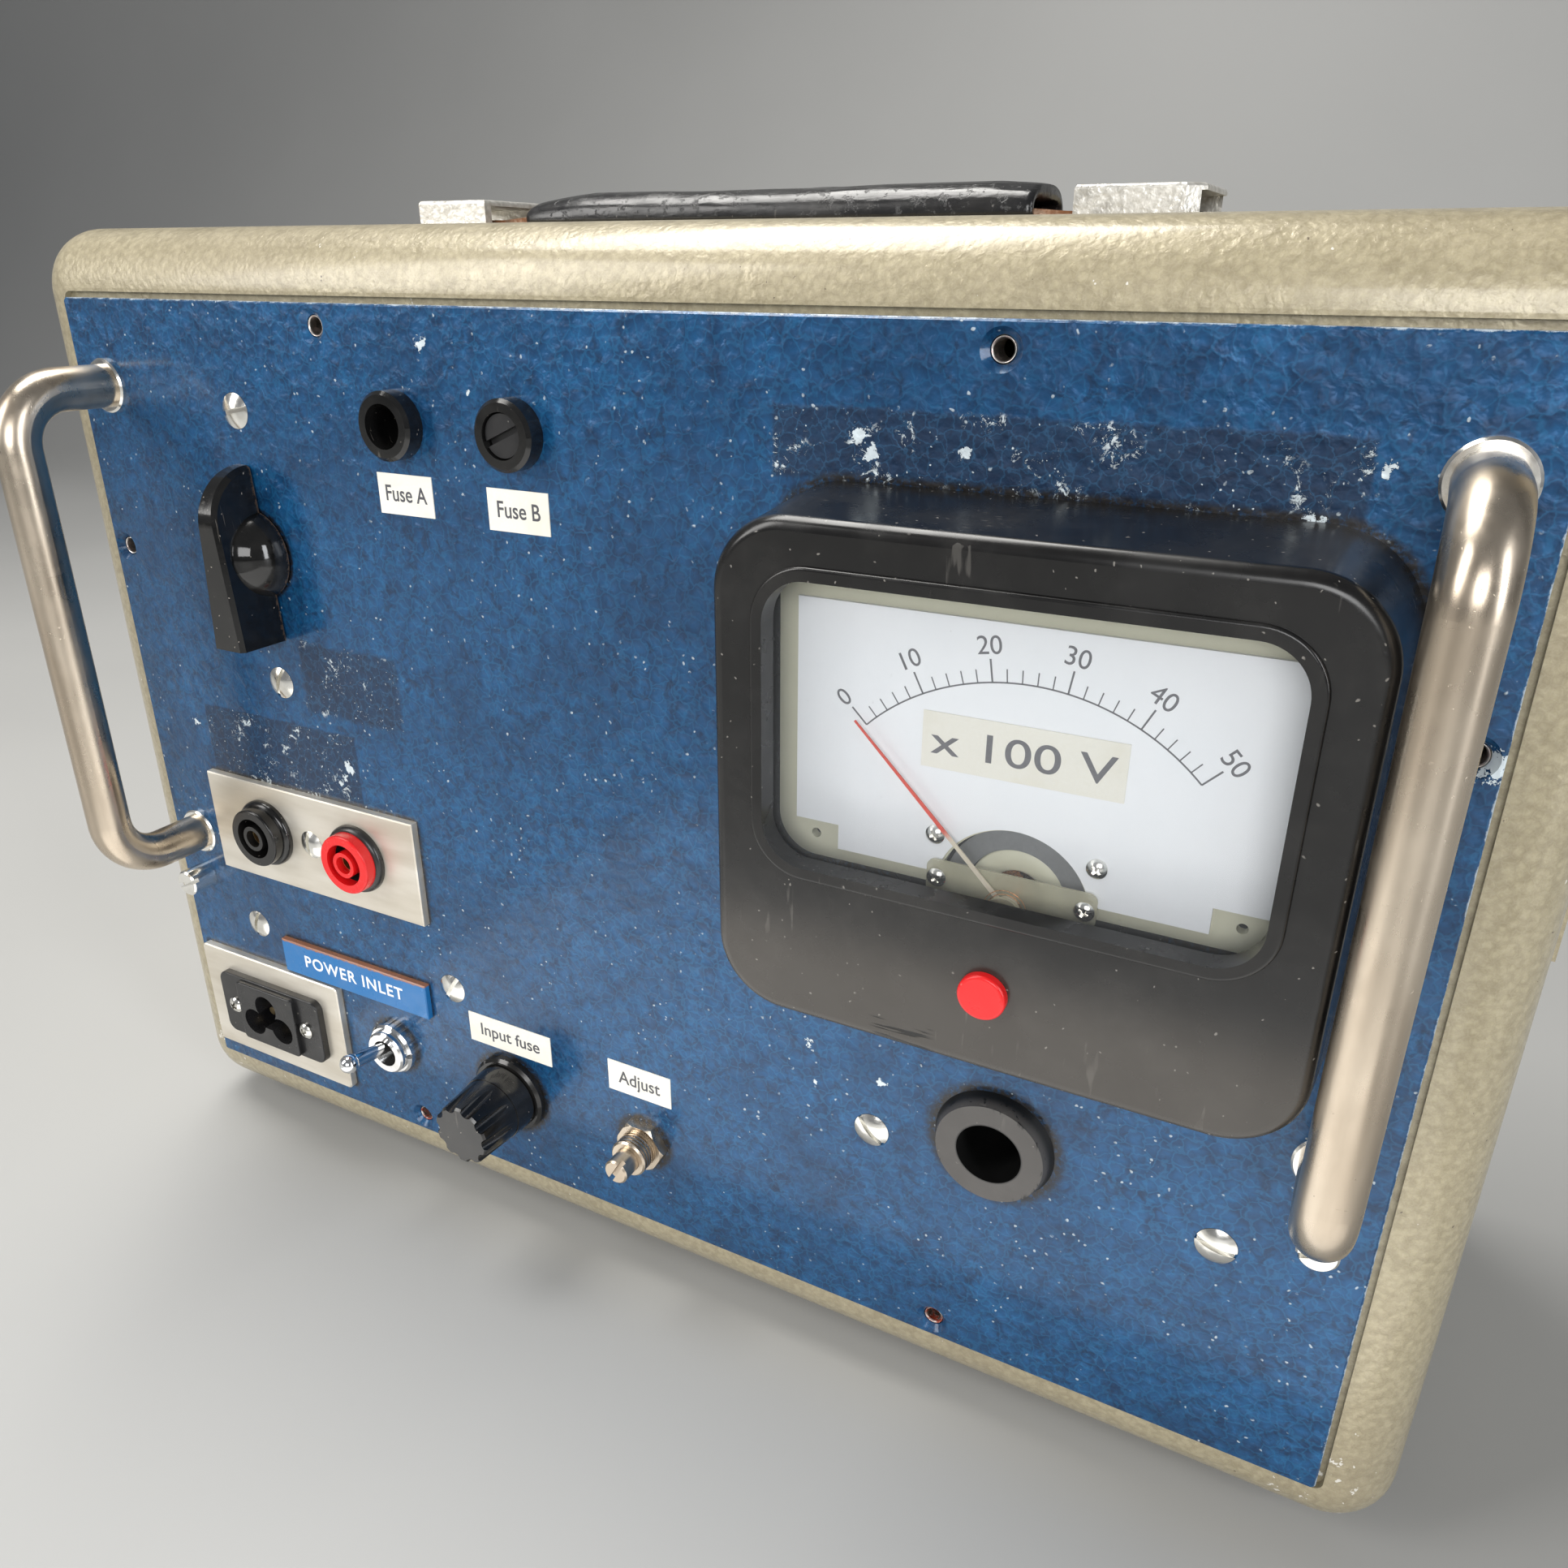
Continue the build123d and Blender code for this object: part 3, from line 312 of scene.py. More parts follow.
    def most(self, masks):
        """The largest of several masks."""
        top = masks[0]
        for mask in masks[1:]:
            top = self.maths("MAXIMUM", top, mask)
        return top

    def see_through(self, clear, solidity):
        """Shows the shader by solidity, and what is behind it for the rest."""
        blend = self.add("ShaderNodeMixShader")
        self.feed(blend.inputs[0], solidity)
        self.feed(blend.inputs[1], clear.outputs[0])
        self.feed(blend.inputs[2], self.shader.outputs[0])
        self.feed(self.tree.nodes["Material Output"].inputs["Surface"], blend.outputs[0])

    def bump(self, height, distance):
        """Adds one layer of relief, distance millimetres high."""
        node = self.add("ShaderNodeBump")
        node.inputs["Strength"].default_value = 1.0
        node.inputs["Distance"].default_value = distance * MM
        self.feed(node.inputs["Height"], height)
        if self.height is not None:
            self.feed(node.inputs["Normal"], self.height)
        self.height = node.outputs["Normal"]
        self.set("Normal", self.height)


# ---- paints ------------------------------------------------------------------
def hammer_finish(look, size, relief):
    """The relief of hammertone enamel. Returns its dimples, and the distance to their rims."""
    place = look.warped(size * 0.9, size * 1.1)
    dimples = look.cells(size, place, "SMOOTH_F1")
    rims = look.cells(size, place, "DISTANCE_TO_EDGE")
    waves = look.noise(size * 1.3, 3.0, 0.5, warp=0.5)
    look.bump(dimples, relief)
    look.bump(waves, relief * 1.2)
    return dimples, rims


def case_paint():
    look = Look("case_paint", Metallic=0.15, Coat_Weight=0.5)
    look.set("Coat Roughness", 0.16)
    dimples, rims = hammer_finish(look, 1.2, 0.10)
    tone = look.mix(look.step(dimples, 0.15, 0.75), (0.43, 0.375, 0.245), (0.31, 0.265, 0.165))
    tone = look.mix(look.step(rims, 0.14, 0.0, 0.0, 0.22), tone, (0.54, 0.48, 0.35))
    mottle = look.step(look.noise(1.3, 4.0, 0.7, shift=(6, 2, 2)), 0.42, 0.60, 0.0, 0.28)
    tone = look.mix(mottle, tone, (0.28, 0.235, 0.155))
    grime = look.step(look.noise(60, 6.0, 0.6), 0.45, 0.75, 0.0, 0.30)
    tone = look.mix(grime, tone, (0.25, 0.205, 0.135))
    corner = look.most([look.round_patch(side * PANEL_W / 2, -PANEL_H / 2, 5.0, 9.0) for side in (-1, 1)])
    bare = look.maths("MULTIPLY_ADD", corner, 0.11, look.noise(2.6, 3.0, 0.6, shift=(3, 1, 2)))
    chips = look.step(bare, 0.735, 0.75)
    specks = look.step(look.noise(1.4, 2.0, 0.5), 0.75, 0.78)
    tone = look.mix(specks, tone, (0.10, 0.075, 0.05))
    look.finish(look.mix(chips, tone, (0.72, 0.69, 0.62)), look.noise(7), 0.32, 0.46)
    return look.material


def shade_and_dirt_rings(look):
    """Painted contact shade, with some dirt, on the panel under and round whatever is fixed to it."""
    # Each node and how far its painted shade and dirt spread.
    round_things = [
        ("hv_socket", 1.6), ("lower_fuse_holder", 1.2), ("control_knob", 0.0),
        ("switch_ring_nut", 0.9), ("preset_nut", 0.8),
    ]
    # Each node, how much larger its painted shade and dirt are, its corner radius and its soft edge.
    square_things = [
        ("meter_bezel", 0.8, BEZEL_CORNER, 1.6), ("socket_plate", 0.4, 1.0, 1.0),
        ("inlet_plate", 0.4, 1.0, 1.0), ("name_plate", 0.4, 1.0, 1.0),
    ]
    rings = []
    for node, spread in round_things:
        rings.append(look.round_patch(*middle(node), size_of(node)[0] / 2 + spread * 0.3, spread + 1.0))
    for node, gap, corner, soft in square_things:
        w, h = size_of(node)
        rings.append(look.rounded(*middle(node), w + gap, h + gap, corner, soft))
    return look.most(rings)


def tape_ghosts(look, ragged):
    """Where tape was pulled off the panel."""
    return look.most([look.patch(*ghost, ragged) for ghost in TAPE_GHOSTS])


def white_marks(look, ghosts):
    """Flecks all over, torn flakes in the tape ghosts, and a few deep chips."""
    dots = look.cells(2.3, look.warped(2.0, 1.4))
    chosen = look.step(look.noise(9, 5.0, 0.75, shift=(5, 0, 1)), 0.49, 0.58)
    flecks = look.both(look.step(dots, 0.16, 0.09), chosen)
    grains = look.step(look.cells(1.1, look.warped(1.3, 0.9)), 0.17, 0.10)
    grains = look.both(grains, look.step(look.noise(5, 4.0, 0.7, shift=(7, 7, 0)), 0.50, 0.58))
    grains = look.both(grains, ghosts)
    torn = look.step(look.noise(2.3, 6.0, 0.82, shift=(2, 0, 7), warp=0.8), 0.555, 0.58)
    clusters = look.step(look.noise(8, 3.0, shift=(9, 0, 0)), 0.52, 0.60)
    flakes = look.both(look.both(torn, clusters), ghosts)
    ragged = look.noise(1.3, 4.0, 0.7)
    chips = look.most([look.round_patch(x, y, r * 0.6, 0.15, ragged) for x, y, r in PANEL_CHIPS])
    return look.most([look.maths("MULTIPLY", flecks, 0.6), grains, flakes, chips])


def panel_paint():
    look = Look("panel_paint", Metallic=0.25, Coat_Weight=0.5)
    look.set("Coat Roughness", 0.15)
    ragged = look.noise(3.0, 4.0)
    ghosts = tape_ghosts(look, ragged)
    dimples, rims = hammer_finish(look, 2.6, 0.34)
    tone = look.mix(look.step(dimples, 0.1, 0.8), (0.005, 0.080, 0.215), (0.0015, 0.033, 0.100))
    tone = look.mix(look.step(rims, 0.12, 0.0, 0.0, 0.35), tone, (0.014, 0.16, 0.35))
    clouds = look.step(look.noise(26, 5.0, 0.65), 0.40, 0.70, 0.0, 0.5)
    tone = look.mix(clouds, tone, (0.001, 0.026, 0.080))
    worms = look.step(look.noise(3.2, 3.0, 0.6, shift=(1, 2, 3), warp=1.2), 0.54, 0.70, 0.0, 0.6)
    tone = look.mix(worms, tone, (0.002, 0.018, 0.055))
    tone = look.mix(look.maths("MULTIPLY", ghosts, 0.72), tone, (0.003, 0.013, 0.040))
    crackle = look.cells(2.6, look.warped(1.4, 2.0), "DISTANCE_TO_EDGE")
    crackle = look.step(crackle, 0.07, 0.0, 0.0, 0.6)
    tone = look.mix(look.both(crackle, ghosts), tone, (0.02, 0.09, 0.19))
    shade_and_dirt_patches = look.step(look.noise(1.2, 4.0, 0.7, shift=(8, 8, 8)), 0.30, 0.55, 0.25, 1.0)
    # Near-black painted contact shade, with dirt, under and round the things fixed to the panel, made patchy
    # by noise.
    tone = look.mix(look.both(shade_and_dirt_rings(look), shade_and_dirt_patches), tone, (0.012, 0.010, 0.009))

    border = look.maths("MAXIMUM", *look.outside(0, 0, PANEL_W, PANEL_H))
    worn = look.maths("MULTIPLY_ADD", look.noise(4.0, 6.0, 0.8), 1.6 * MM, border)
    edge = look.step(worn, 0.60 * MM, 0.85 * MM)
    white = look.most([white_marks(look, ghosts), look.maths("MULTIPLY", edge, 0.6)])
    look.set("Base Color", look.mix(white, tone, (0.66, 0.74, 0.78)))
    rough = look.step(look.noise(4.0, 4.0), 0.3, 0.7, 0.36, 0.50)
    look.set("Roughness", look.maths("MULTIPLY_ADD", ghosts, 0.12, rough))
    look.set("Specular IOR Level", 0.35)
    look.bump(white, 0.08)
    look.bump(ghosts, 0.06)
    return look.material


def clamp_paint():
    look = Look("hammered_clamps", Metallic=0.6)
    dimples, _ = hammer_finish(look, 1.1, 0.09)
    tone = look.mix(look.step(dimples, 0.1, 0.8), (0.76, 0.74, 0.69), (0.56, 0.54, 0.49))
    grime = look.step(look.noise(5, 5.0, 0.7), 0.52, 0.74, 0.0, 0.45)
    look.finish(look.mix(grime, tone, (0.26, 0.235, 0.20)), look.noise(3.0, 3.0), 0.28, 0.45)
    return look.material


# ---- metals ------------------------------------------------------------------
def brushed_metal(name, clean, worn, rough, stretch=(1, 1, 1), lines=0.25, relief=0.004, metallic=1.0):
    """Metal with brushed strokes, worn clouds and a few dark spots."""
    look = Look(name, Metallic=metallic)
    strokes = look.noise(0.5, 5.0, 0.7, stretch=stretch)
    cloud = look.step(look.noise(9, 4.0, 0.5, stretch=tuple(max(0.2, c) for c in stretch)), 0.38, 0.72)
    spots = look.step(look.noise(1.1, 3.0, 0.6, shift=(1, 5, 2)), 0.74, 0.78, 0.0, 0.6)
    tone = look.mix(cloud, clean, worn)
    look.set("Base Color", look.mix(spots, tone, tuple(0.35 * c for c in worn)))
    base = look.step(look.noise(9, 4.0), 0.3, 0.7, rough, rough + 0.12)
    look.set("Roughness", look.maths("MULTIPLY_ADD", strokes, lines * 0.3, base))
    look.bump(strokes, relief)
    return look


def satin_nickel():
    look = brushed_metal("satin_nickel", (0.60, 0.52, 0.42), (0.46, 0.385, 0.30), 0.20, (1, 1, 0.03))
    pits = look.step(look.noise(0.9, 3.0, 0.6, shift=(7, 1, 3)), 0.66, 0.74)
    look.bump(pits, -0.02)
    return look.material


def zinc_screws():
    """Turned zinc-plated steel: bright, with faint tarnish in soft clouds."""
    look = Look("zinc_screws", Metallic=1.0)
    tarnish = look.step(look.noise(5.0, 3.0, 0.5), 0.45, 0.75)
    look.finish(look.mix(tarnish, (0.82, 0.81, 0.77), (0.62, 0.60, 0.55)), look.noise(2.0, 3.0), 0.15, 0.24)
    return look.material


def bright_chrome():
    clean, worn = (0.80, 0.81, 0.82), (0.62, 0.62, 0.61)
    return brushed_metal("bright_chrome", clean, worn, 0.09, lines=0.1, relief=0.001).material


def aluminium_plate():
    clean, worn = (0.78, 0.74, 0.66), (0.60, 0.55, 0.46)
    look = brushed_metal("plate_aluminium", clean, worn, 0.34, (0.04, 1, 1), metallic=0.7)
    scratches = look.step(look.noise(0.8, 2.0, 0.4, stretch=(0.06, 1, 1.6), shift=(0, 3, 9)), 0.68, 0.72)
    look.bump(scratches, -0.01)
    return look.material


def rusty_insert():
    """Zinc inserts with red-brown rust in their threads."""
    look = brushed_metal("rusty_insert", (0.78, 0.77, 0.73), (0.50, 0.46, 0.40), 0.25)
    low = look.step(look.axis("Z"), ORIGIN.z, ORIGIN.z - 20 * MM, 0.35, 1.0)
    rust = look.both(look.step(look.noise(1.6, 4.0, 0.7), 0.42, 0.60), low)
    look.set("Base Color", look.mix(rust, look.base_colour(), (0.30, 0.045, 0.020)))
    look.set("Metallic", look.step(rust, 0.0, 1.0, 1.0, 0.1))
    return look.material


def chassis_zinc():
    return brushed_metal("chassis_zinc", (0.60, 0.60, 0.57), (0.46, 0.46, 0.42), 0.34).material


def contact_brass():
    return brushed_metal("contact_brass", (0.78, 0.60, 0.32), (0.52, 0.36, 0.18), 0.24).material


def core_steel():
    look = brushed_metal("core_steel", (0.20, 0.19, 0.18), (0.12, 0.10, 0.09), 0.40)
    sheets = look.cells(0.7, look.stretched((0.001, 1, 0.001)))
    look.bump(sheets, 0.08)
    return look.material


def magnet_grey():
    look = Look("magnet_grey", Metallic=0.5)
    grain = look.noise(0.8, 5.0, 0.7)
    look.finish(look.mix(grain, (0.20, 0.21, 0.22), (0.36, 0.37, 0.38)), grain, 0.45, 0.6)
    look.bump(grain, 0.03)
    return look.material


def coil_copper():
    look = Look("coil_copper", Metallic=0.9)
    turns = look.noise(0.35, 2.0, 0.4, stretch=(1, 0.2, 1))
    look.finish(look.mix(turns, (0.62, 0.26, 0.09), (0.85, 0.45, 0.20)), turns, 0.22, 0.38)
    look.bump(turns, 0.05)
    return look.material


def rusty_strip():
    look = Look("strap_steel")
    rust = look.step(look.noise(2.4, 6.0, 0.7), 0.36, 0.60)
    tone = look.mix(rust, (0.46, 0.36, 0.28), (0.17, 0.065, 0.025))
    look.set("Base Color", look.mix(look.noise(0.5, 4.0), tone, (0.24, 0.10, 0.04)))
    look.set("Metallic", look.step(rust, 0.0, 1.0, 0.9, 0.1))
    look.set("Roughness", look.step(rust, 0.0, 1.0, 0.32, 0.8))
    look.bump(look.noise(0.6, 5.0, 0.7), 0.08)
    return look.material


# ---- plastics, rubber, paper, glass ------------------------------------------
def moulded(name, base, dust, rough, scratches=0.5, fleck=0.3, haze=0.08, relief=0.008):
    """Moulded plastic: a faint haze, dots of dust, and hairline scratches in a few places."""
    look = Look(name)
    cloud = look.step(look.noise(16, 6.0, 0.65), 0.42, 0.75, 0.0, haze)
    specks = look.step(look.cells(2.6, look.warped(1.9, 1.6)), 0.085, 0.05, 0.0, fleck)
    hair = look.noise(0.5, 2.0, 0.3, stretch=(0.35, 1, 0.05), shift=(2, 2, 2))
    where = look.step(look.noise(22, 3.0, shift=(4, 9, 1)), 0.54, 0.64, 0.0, scratches)
    lines = look.both(look.step(hair, 0.66, 0.72), where)
    tone = look.mix(cloud, base, dust)
    tone = look.mix(specks, tone, dust)
    look.set("Base Color", look.mix(look.maths("MULTIPLY", lines, 0.25), tone, dust))
    rubbed = look.step(look.noise(12, 5.0), 0.35, 0.7, rough, rough + 0.14)
    look.set("Roughness", look.maths("MULTIPLY_ADD", lines, 0.15, rubbed))
    look.bump(look.noise(0.8, 3.0), relief)
    return look


def bezel_plastic():
    """The meter's front: satin near-black, with a painted sheen that makes it paler low down, and one group
    of scores.
    """
    black, dust = (0.0050, 0.0048, 0.0048), (0.34, 0.32, 0.29)
    look = moulded("bezel_satin", black, dust, 0.20, fleck=0.5, haze=0.035, relief=0.002)
    spot = look.patch(*BEZEL_SCORES)
    scores = look.noise(0.55, 2.0, 0.3, stretch=(0.06, 1, 1), shift=(1, 7, 4))
    scores = look.both(look.step(scores, 0.56, 0.62), spot)
    low = at(0, METER_MIDDLE[1] - BEZEL_SHEEN_BELOW).z
    # Painted sheen: the bezel's lower part is made paler and brown-grey, as a painted reflection of the
    # floor in front.
    low_sheen = look.step(look.axis("Z"), low + 8 * MM, low - 8 * MM, 0.0, 0.11)
    colour = look.mix(low_sheen, look.base_colour(), (0.42, 0.37, 0.31))
    look.set("Base Color", look.mix(scores, colour, (0.001, 0.001, 0.001)))
    look.bump(scores, -0.03)
    return look.material


def black_vinyl():
    look = moulded("black_vinyl", (0.010, 0.010, 0.011), (0.30, 0.28, 0.25), 0.20, scratches=0.8, haze=0.05)
    creases = look.noise(7.0, 4.0, 0.6, stretch=(0.25, 1, 1))
    look.bump(creases, 0.35)
    look.bump(look.step(look.noise(2.2, 5.0, 0.7), 0.55, 0.68), -0.05)
    return look.material


def paper(name, base, edge):
    look = Look(name)
    fibre = look.noise(0.5, 6.0, 0.75)
    stain = look.step(look.noise(6.0, 4.0, 0.6, shift=(2, 1, 1)), 0.42, 0.72)
    tone = look.mix(fibre, base, edge)
    look.finish(look.mix(look.maths("MULTIPLY", stain, 0.7), tone, edge), fibre, 0.48, 0.62)
    look.bump(fibre, 0.01)
    look.bump(look.noise(5.0, 2.0), 0.05)
    return look.material


def dial_white():
    look = Look("dial_white")
    cloud = look.noise(14, 5.0, 0.6)
    marks = look.step(look.noise(1.0, 3.0, 0.6, shift=(3, 3, 1)), 0.73, 0.77)
    tone = look.mix(cloud, (0.86, 0.89, 0.92), (0.93, 0.94, 0.96))
    look.finish(look.mix(marks, tone, (0.50, 0.50, 0.49)), cloud, 0.30, 0.42)
    return look.material


def window_glass():
    """Clear window: see-through, with a Fresnel sheen and a little dust."""
    look = Look("window_glass")
    look.set("Base Color", (0.9, 0.93, 0.95))
    look.set("Roughness", look.step(look.noise(12, 5.0), 0.35, 0.7, 0.02, 0.07))
    clear = look.add("ShaderNodeBsdfTransparent")
    fresnel = look.add("ShaderNodeFresnel")
    fresnel.inputs["IOR"].default_value = 1.42
    dust = look.step(look.noise(2.4, 6.0, 0.75), 0.58, 0.80, 0.0, 0.05)
    sheen = look.maths("MULTIPLY_ADD", fresnel.outputs["Fac"], 0.9, dust, clamp=True)
    look.see_through(clear, sheen)
    return look.material


def clear_resin():
    """The movement's yellowed clear bridge."""
    look = Look("clear_resin")
    cloud = look.noise(3.0, 3.0)
    look.finish(look.mix(cloud, (0.58, 0.56, 0.38), (0.70, 0.67, 0.50)), cloud, 0.12, 0.22)
    clear = look.add("ShaderNodeBsdfTransparent")
    layer = look.add("ShaderNodeLayerWeight")
    body = look.maths("MULTIPLY_ADD", layer.outputs["Facing"], 0.5, 0.38, clamp=True)
    look.see_through(clear, body)
    return look.material


def pointer_paint():
    """Red from the tip inwards, then ivory nearer the pivot."""
    look = Look("needle_red")
    x, y = PIVOT
    near = look.round_patch(x, y, 14.0, 3.0)
    shade = look.noise(1.2, 3.0)
    red = look.mix(shade, (0.78, 0.07, 0.03), (0.62, 0.04, 0.02))
    look.finish(look.mix(near, red, (0.74, 0.66, 0.52)), shade, 0.35, 0.5)
    return look.material


def engraved_plate():
    """The blue name plate, whose rust-coloured core shows along its top edge."""
    look = moulded("plate_blue", (0.007, 0.150, 0.41), (0.45, 0.42, 0.38), 0.24, scratches=0.25, fleck=0.1)
    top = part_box("name_plate")[1].z
    above = look.maths("SUBTRACT", look.axis("Z"), top)
    ragged = look.noise(1.4, 4.0, 0.7)
    worn = look.step(look.maths("MULTIPLY_ADD", ragged, 1.6 * MM, above), 0.1 * MM, 0.6 * MM)
    look.set("Base Color", look.mix(worn, look.base_colour(), (0.33, 0.13, 0.06)))
    return look.material


def capacitor_body():
    return moulded("capacitor_body", (0.03, 0.10, 0.28), (0.4, 0.4, 0.4), 0.25).material


def board_laminate():
    look = Look("board_laminate")
    weave = look.noise(0.6, 4.0, stretch=(1, 1, 0.2))
    look.finish(look.mix(weave, (0.34, 0.18, 0.07), (0.46, 0.27, 0.12)), weave, 0.4, 0.55)
    return look.material


def black_rubber():
    look = moulded("black_rubber", (0.015, 0.015, 0.015), (0.2, 0.19, 0.17), 0.6, scratches=0.2)
    look.bump(look.noise(0.4, 4.0), 0.03)
    return look.material


def fuse_glass():
    look = Look("fuse_glass", Transmission_Weight=0.6)
    bands = look.noise(3.0, 3.0)
    look.finish(look.mix(bands, (0.80, 0.80, 0.78), (0.65, 0.64, 0.60)), bands, 0.10, 0.2)
    return look.material


def ink(name, tone):
    look = Look(name)
    worn = look.noise(0.7, 4.0, 0.6)
    look.finish(look.mix(worn, tone, tuple(min(1.0, c * 1.5 + 0.03) for c in tone)), worn, 0.4, 0.55)
    return look.material


def cream_plastic():
    look = moulded("cream_plastic", (0.66, 0.65, 0.50), (0.36, 0.34, 0.26), 0.35, scratches=0.1, fleck=0.2)
    return look.material


def red_moulding(name):
    return moulded(name, (0.72, 0.008, 0.010), (0.80, 0.30, 0.26), 0.26, scratches=0.3, haze=0.04)


def red_plastic():
    return red_moulding("red_plastic").material


def red_tube_on_black():
    """The red socket: its shroud and barrel are red, and the flange under them is black."""
    look = red_moulding("red_socket_plastic")
    high = ORIGIN.y - FLANGE_TOP * MM
    flange = look.step(look.axis("Y"), high - 0.05 * MM, high + 0.05 * MM)
    grain = look.noise(1.0, 4.0)
    black = look.mix(grain, (0.012, 0.012, 0.013), (0.022, 0.021, 0.020))
    look.set("Base Color", look.mix(flange, look.base_colour(), black))
    return look.material


def worn_phenolic():
    """The high-voltage socket: black phenolic, its face rubbed to grey and scored at the rim, with painted
    shade deep in its bore and at its foot.
    """
    grey, dust = (0.075, 0.070, 0.066), (0.30, 0.28, 0.25)
    look = moulded("worn_phenolic", grey, dust, 0.32, scratches=0.6, fleck=0.35)
    x, y = middle("hv_socket")
    # The bore and every face within 1 mm of the panel are near black: the phenolic's unrubbed black, and
    # painted shade deep in the bore and at the socket's foot.
    bore = look.round_patch(x, y, HV_BORE_R, 0.4)
    inside = look.step(look.axis("Y"), ORIGIN.y - 3.0 * MM, ORIGIN.y - 1.0 * MM)
    dark = look.most([bore, inside])
    scores = look.step(look.noise(1.0, 3.0, 0.6, stretch=(1, 1, 0.3), shift=(0, 6, 0)), 0.60, 0.66)
    rim = look.maths("SUBTRACT", 1.0, look.round_patch(x, y, HV_FLAT_R, 0.8))
    tone = look.mix(look.both(scores, rim), look.base_colour(), (0.012, 0.011, 0.010))
    look.set("Base Color", look.mix(dark, tone, (0.006, 0.006, 0.006)))
    return look.material


def black_gloss():
    look = moulded("black_gloss", (0.006, 0.006, 0.006), (0.42, 0.38, 0.33), 0.11, fleck=0.4, haze=0.03)
    return look.material


def knob_gloss():
    """The knob: gloss black, worn brown where its foot meets the panel."""
    black, dust = (0.0045, 0.0045, 0.0045), (0.42, 0.38, 0.33)
    look = moulded("knob_gloss", black, dust, 0.07, scratches=0.6, fleck=0.6, haze=0.02)
    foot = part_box("control_knob")[1].y
    worn = look.maths("MULTIPLY_ADD", look.noise(1.6, 4.0, 0.7), 3.0 * MM, look.axis("Y"))
    rust = look.step(worn, foot + 0.9 * MM, foot + 1.6 * MM, 0.0, 0.5)
    look.set("Base Color", look.mix(rust, look.base_colour(), (0.13, 0.085, 0.055)))
    return look.material


def black_satin():
    look = moulded("black_satin", (0.011, 0.011, 0.012), (0.36, 0.34, 0.31), 0.24, fleck=0.4, haze=0.05)
    return look.material


def ceramic_body():
    look = Look("ceramic_body")
    grain = look.noise(1.5, 4.0)
    look.finish(look.mix(grain, (0.62, 0.60, 0.54), (0.72, 0.70, 0.64)), grain, 0.5, 0.65)
    return look.material


SLOT_LOOKS = {
    "case_paint": case_paint,
    "panel_paint": panel_paint,
    "hammered_clamps": clamp_paint,
    "satin_nickel": satin_nickel,
    "zinc_screws": zinc_screws,
    "plate_aluminium": aluminium_plate,
    "chassis_zinc": chassis_zinc,
    "contact_brass": contact_brass,
    "core_steel": core_steel,
    "magnet_grey": magnet_grey,
    "coil_copper": coil_copper,
    "strap_steel": rusty_strip,
    "black_vinyl": black_vinyl,
    "black_gloss": black_gloss,
    "black_satin": black_satin,
    "black_rubber": black_rubber,
    "red_plastic": red_plastic,
    "cream_plastic": cream_plastic,
    "dial_white": dial_white,
    "window_glass": window_glass,
    "needle_red": pointer_paint,
    "plate_blue": engraved_plate,
    "capacitor_body": capacitor_body,
    "board_laminate": board_laminate,
    "fuse_glass": fuse_glass,
    "ceramic_body": ceramic_body,
}

# Nodes that look different from the rest of their slot.
NODE_LOOKS = {
    "meter_bezel": bezel_plastic,
    "meter_bridge": clear_resin,
    "red_socket": red_tube_on_black,
    "hv_socket": worn_phenolic,
    "control_knob": knob_gloss,
    "handle_washers": zinc_screws,
    "switch_body": bright_chrome,
    "switch_ring_nut": bright_chrome,
    "switch_lever": bright_chrome,
}


def dress_cad_nodes():
    """Gives every CAD node its own look or its slot's, and returns the looks by slot."""
    looks = {slot: make() for slot, make in SLOT_LOOKS.items()}
    looks["label_paper"] = paper("label_paper", (0.90, 0.89, 0.83), (0.80, 0.77, 0.66))
    for part in frame["record"]["subparts"]:
        node = frame["nodes"][part["node"]]
        node.data.materials.clear()
        special = NODE_LOOKS.get(part["node"])
        node.data.materials.append(special() if special else looks[part["material_slot"]])
    return looks


# ---- pieces ------------------------------------------------------------------
def piece(name, data, material, body, place=None):
    """Puts a mesh or a curve on a body, at a place or where its points already are."""
    obj = bpy.data.objects.new(name, data)
    bpy.context.scene.collection.objects.link(obj)
    data.materials.append(material)
    if place is not None:
        obj.matrix_world = place
    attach(obj, body)
    return obj


def skin(name, verts, faces, smooth):
    """A mesh of those corners and faces."""
    mesh = bpy.data.meshes.new(name)
    mesh.from_pydata([tuple(v) for v in verts], [], faces)
    mesh.polygons.foreach_set("use_smooth", [smooth] * len(mesh.polygons))
    mesh.validate()
    return mesh


def wire(name, points, radius, roundness):
    """A round wire, radius millimetres thick each way, through points in the shared frame."""
    curve = bpy.data.curves.new(name, "CURVE")
    curve.dimensions = "3D"
    curve.bevel_depth = radius * MM
    curve.bevel_resolution = roundness
    spline = curve.splines.new("POLY")
    spline.points.add(len(points) - 1)
    for spot, point in zip(spline.points, points):
        spot.co = (*point, 1)
    return curve


def lettering(name, words, spot, size, material, spin=0.0, stretch=1.0, bold=0.0, gap=1.0):
    """Flat letters that face out of the panel, with their middle at spot."""
    curve = bpy.data.curves.new(name, "FONT")
    curve.body = words
    curve.size = size * MM
    curve.align_x = "CENTER"
    curve.align_y = "CENTER"
    curve.extrude = INK_T * MM / 2
    curve.offset = bold * MM
    curve.space_character = gap
    turn = Matrix.Rotation(math.radians(90), 4, "X") @ Matrix.Rotation(math.radians(spin), 4, "Z")
    place = Matrix.Translation(at(*spot)) @ turn @ Matrix.Diagonal((stretch, 1, 1, 1))
    piece(name, curve, material, "root", place)


